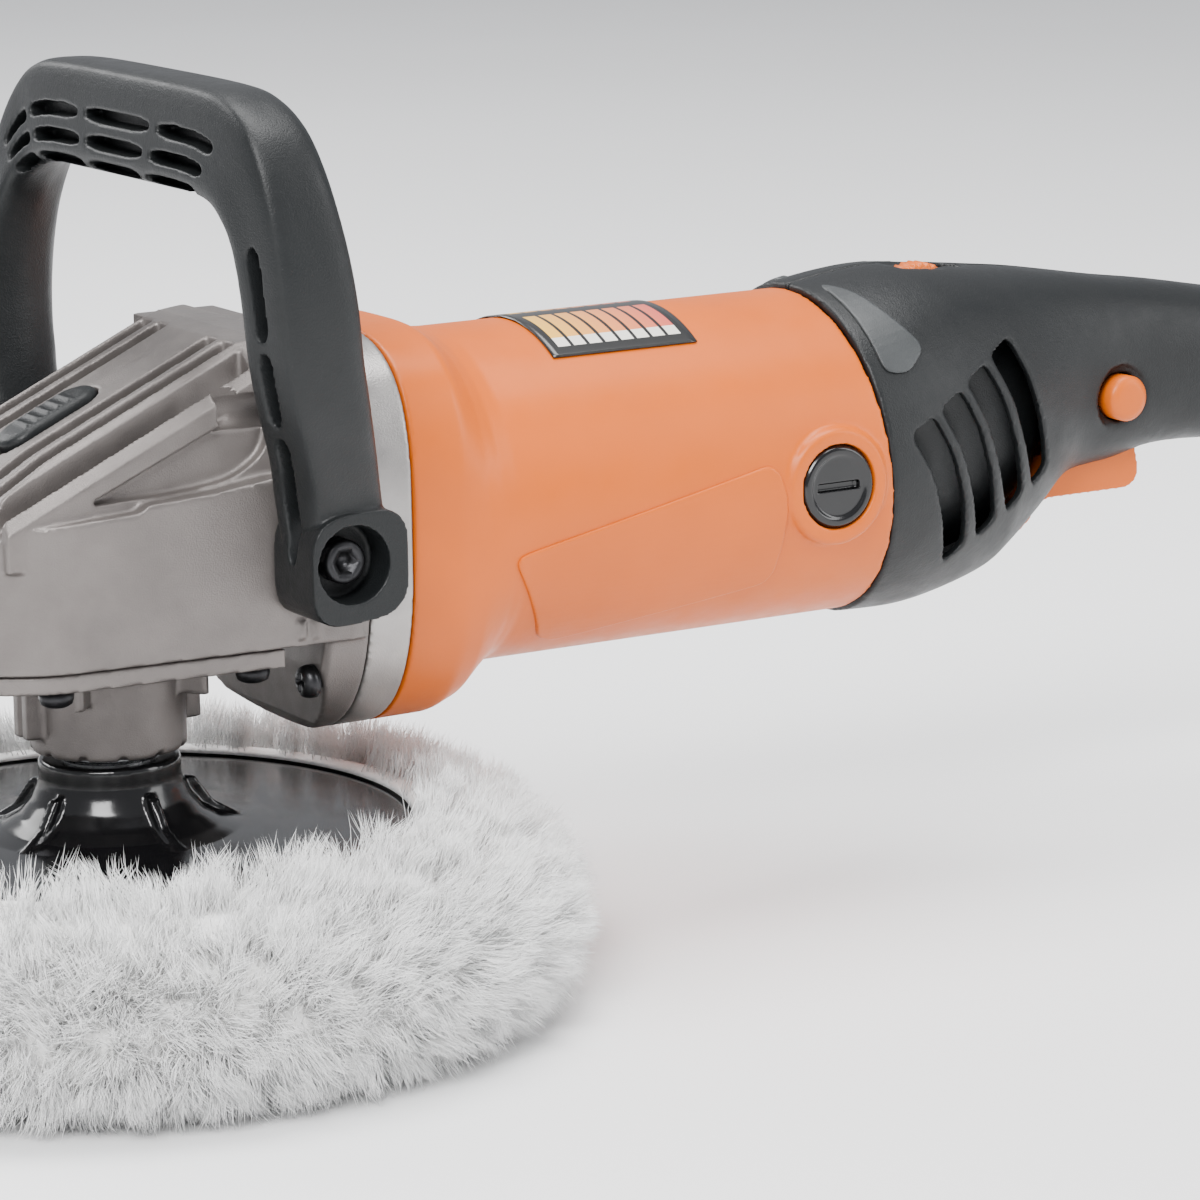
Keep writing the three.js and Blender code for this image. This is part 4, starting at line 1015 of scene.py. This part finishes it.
def sway(rng, around, across, scale):
    """A random sideways offset for each row, along the skin."""
    count = len(around)
    return (around * rng.normal(scale=scale, size=(count, 1))
            + across * rng.normal(scale=scale, size=(count, 1)))


def strand_spines(count, tufts, rng, length):
    """Four points along each strand; the strands of a tuft lean together and close in towards its tip."""
    root, out, around, across, turn, place = tuft_roots(tufts, rng)
    aim = unit(out + around * column(0.45 * wave(turn, place, 1.0) + 0.3 * rng.normal(size=tufts))
               + across * column(0.4 * wave(turn, place, 4.0) + 0.3 * rng.normal(size=tufts)))
    size = length * column(0.75 + 0.4 * rng.random(tufts))
    bend = sway(rng, around, across, 0.2)
    own = rng.integers(0, tufts, count)
    out, around, across, aim, bend, size = (rows[own] for rows in (out, around, across, aim, bend, size))
    spread = sway(rng, around, across, 1.9)
    base = root[own] + spread
    aim = unit(aim + sway(rng, around, across, 0.12))
    size = size * column(0.8 + 0.3 * rng.random(count))
    spine = [base - 1.2 * out, base + size * (0.38 * aim + 0.16 * bend) - 0.12 * spread,
             base + size * (0.72 * aim + 0.10 * bend) - 0.34 * spread,
             base + size * (aim - 0.25 * bend) - 0.42 * spread]
    return spine, around, across


def strand_faces(count):
    """The faces of each strand's three triangular rings and tip."""
    sides = [(3 * r + k, 3 * r + (k + 1) % 3, 3 * r + 3 + (k + 1) % 3, 3 * r + 3 + k)
             for r in (0, 1) for k in range(3)]
    pattern = [(0, 2, 1), *sides, *[(6 + k, 6 + (k + 1) % 3, 9) for k in range(3)]]
    return [tuple(first + i for i in face) for first in range(0, count * 10, 10) for face in pattern]


def pile(name, count, tufts, seed, length, thick):
    """Tapered wavy strands in tufts, as one mesh, kept just above the floor."""
    rng = np.random.default_rng(seed)
    spine, around, across = strand_spines(count, tufts, rng, length)
    girth = thick * column(0.75 + 0.5 * rng.random(count))
    points = [p + girth * scale * (math.cos(a) * around + math.sin(a) * across)
              for p, scale in zip(spine[:3], (1.0, 0.85, 0.6))
              for a in (0, 2 * math.pi / 3, 4 * math.pi / 3)]
    vertices = np.stack(points + [spine[3]], axis=1)
    vertices[:, :, 2] = np.maximum(vertices[:, :, 2], 0.2)
    strands = solid(name, vertices.reshape(-1, 3).tolist(), strand_faces(count))
    return finish_piece(strands, name, PILE, "spindle")


PILE_PIECES = 7
PILE_COUNT = 19000

backing_plate()
bonnet_skin()
for index in range(PILE_PIECES):
    pile(f"wool_pile_{index + 1}", PILE_COUNT, PILE_COUNT // 24, 11 + index, 12.5, 0.12)

# ---------------------------------------------------------------- floor and light


def floor():
    size = 6
    points = [(-size, -size, 0), (size, -size, 0), (size, size, 0), (-size, size, 0)]
    ground = solid("floor", [tuple(c / MM for c in p) for p in points], [(0, 1, 2, 3)])
    paint = Paint("floor_pale", 0.75)
    paint.colour(paint.noise(3, 2), (0.3, (0.86, 0.86, 0.86)), (0.7, (0.88, 0.88, 0.88)))
    ground.data.materials.append(paint.material)


def area_light(name, place, target, size, power):
    data = bpy.data.lights.new(name, "AREA")
    data.shape = "RECTANGLE"
    data.size, data.size_y = size
    data.energy = power
    lamp = bpy.data.objects.new(name, data)
    aim = Vector(target) - Vector(place)
    lamp.matrix_world = Matrix.Translation(place) @ aim.to_track_quat("-Z", "Y").to_matrix().to_4x4()
    bpy.context.scene.collection.objects.link(lamp)


def studio():
    world = bpy.data.worlds.new("studio")
    world.use_nodes = True
    world.node_tree.nodes["Background"].inputs["Color"].default_value = (0.93, 0.95, 1.0, 1)
    world.node_tree.nodes["Background"].inputs["Strength"].default_value = 0.62
    bpy.context.scene.world = world
    middle = (0.12, 0, 0.11)
    area_light("key", (-1.1, -1.3, 1.6), middle, (1.0, 1.0), 80)
    area_light("top", (0.3, 0.1, 1.8), middle, (1.6, 0.9), 52)
    area_light("side", (1.6, -1.2, 0.8), middle, (0.7, 1.4), 18)
    area_light("rim", (-0.6, 1.6, 1.1), middle, (1.2, 0.8), 22)


floor()
studio()
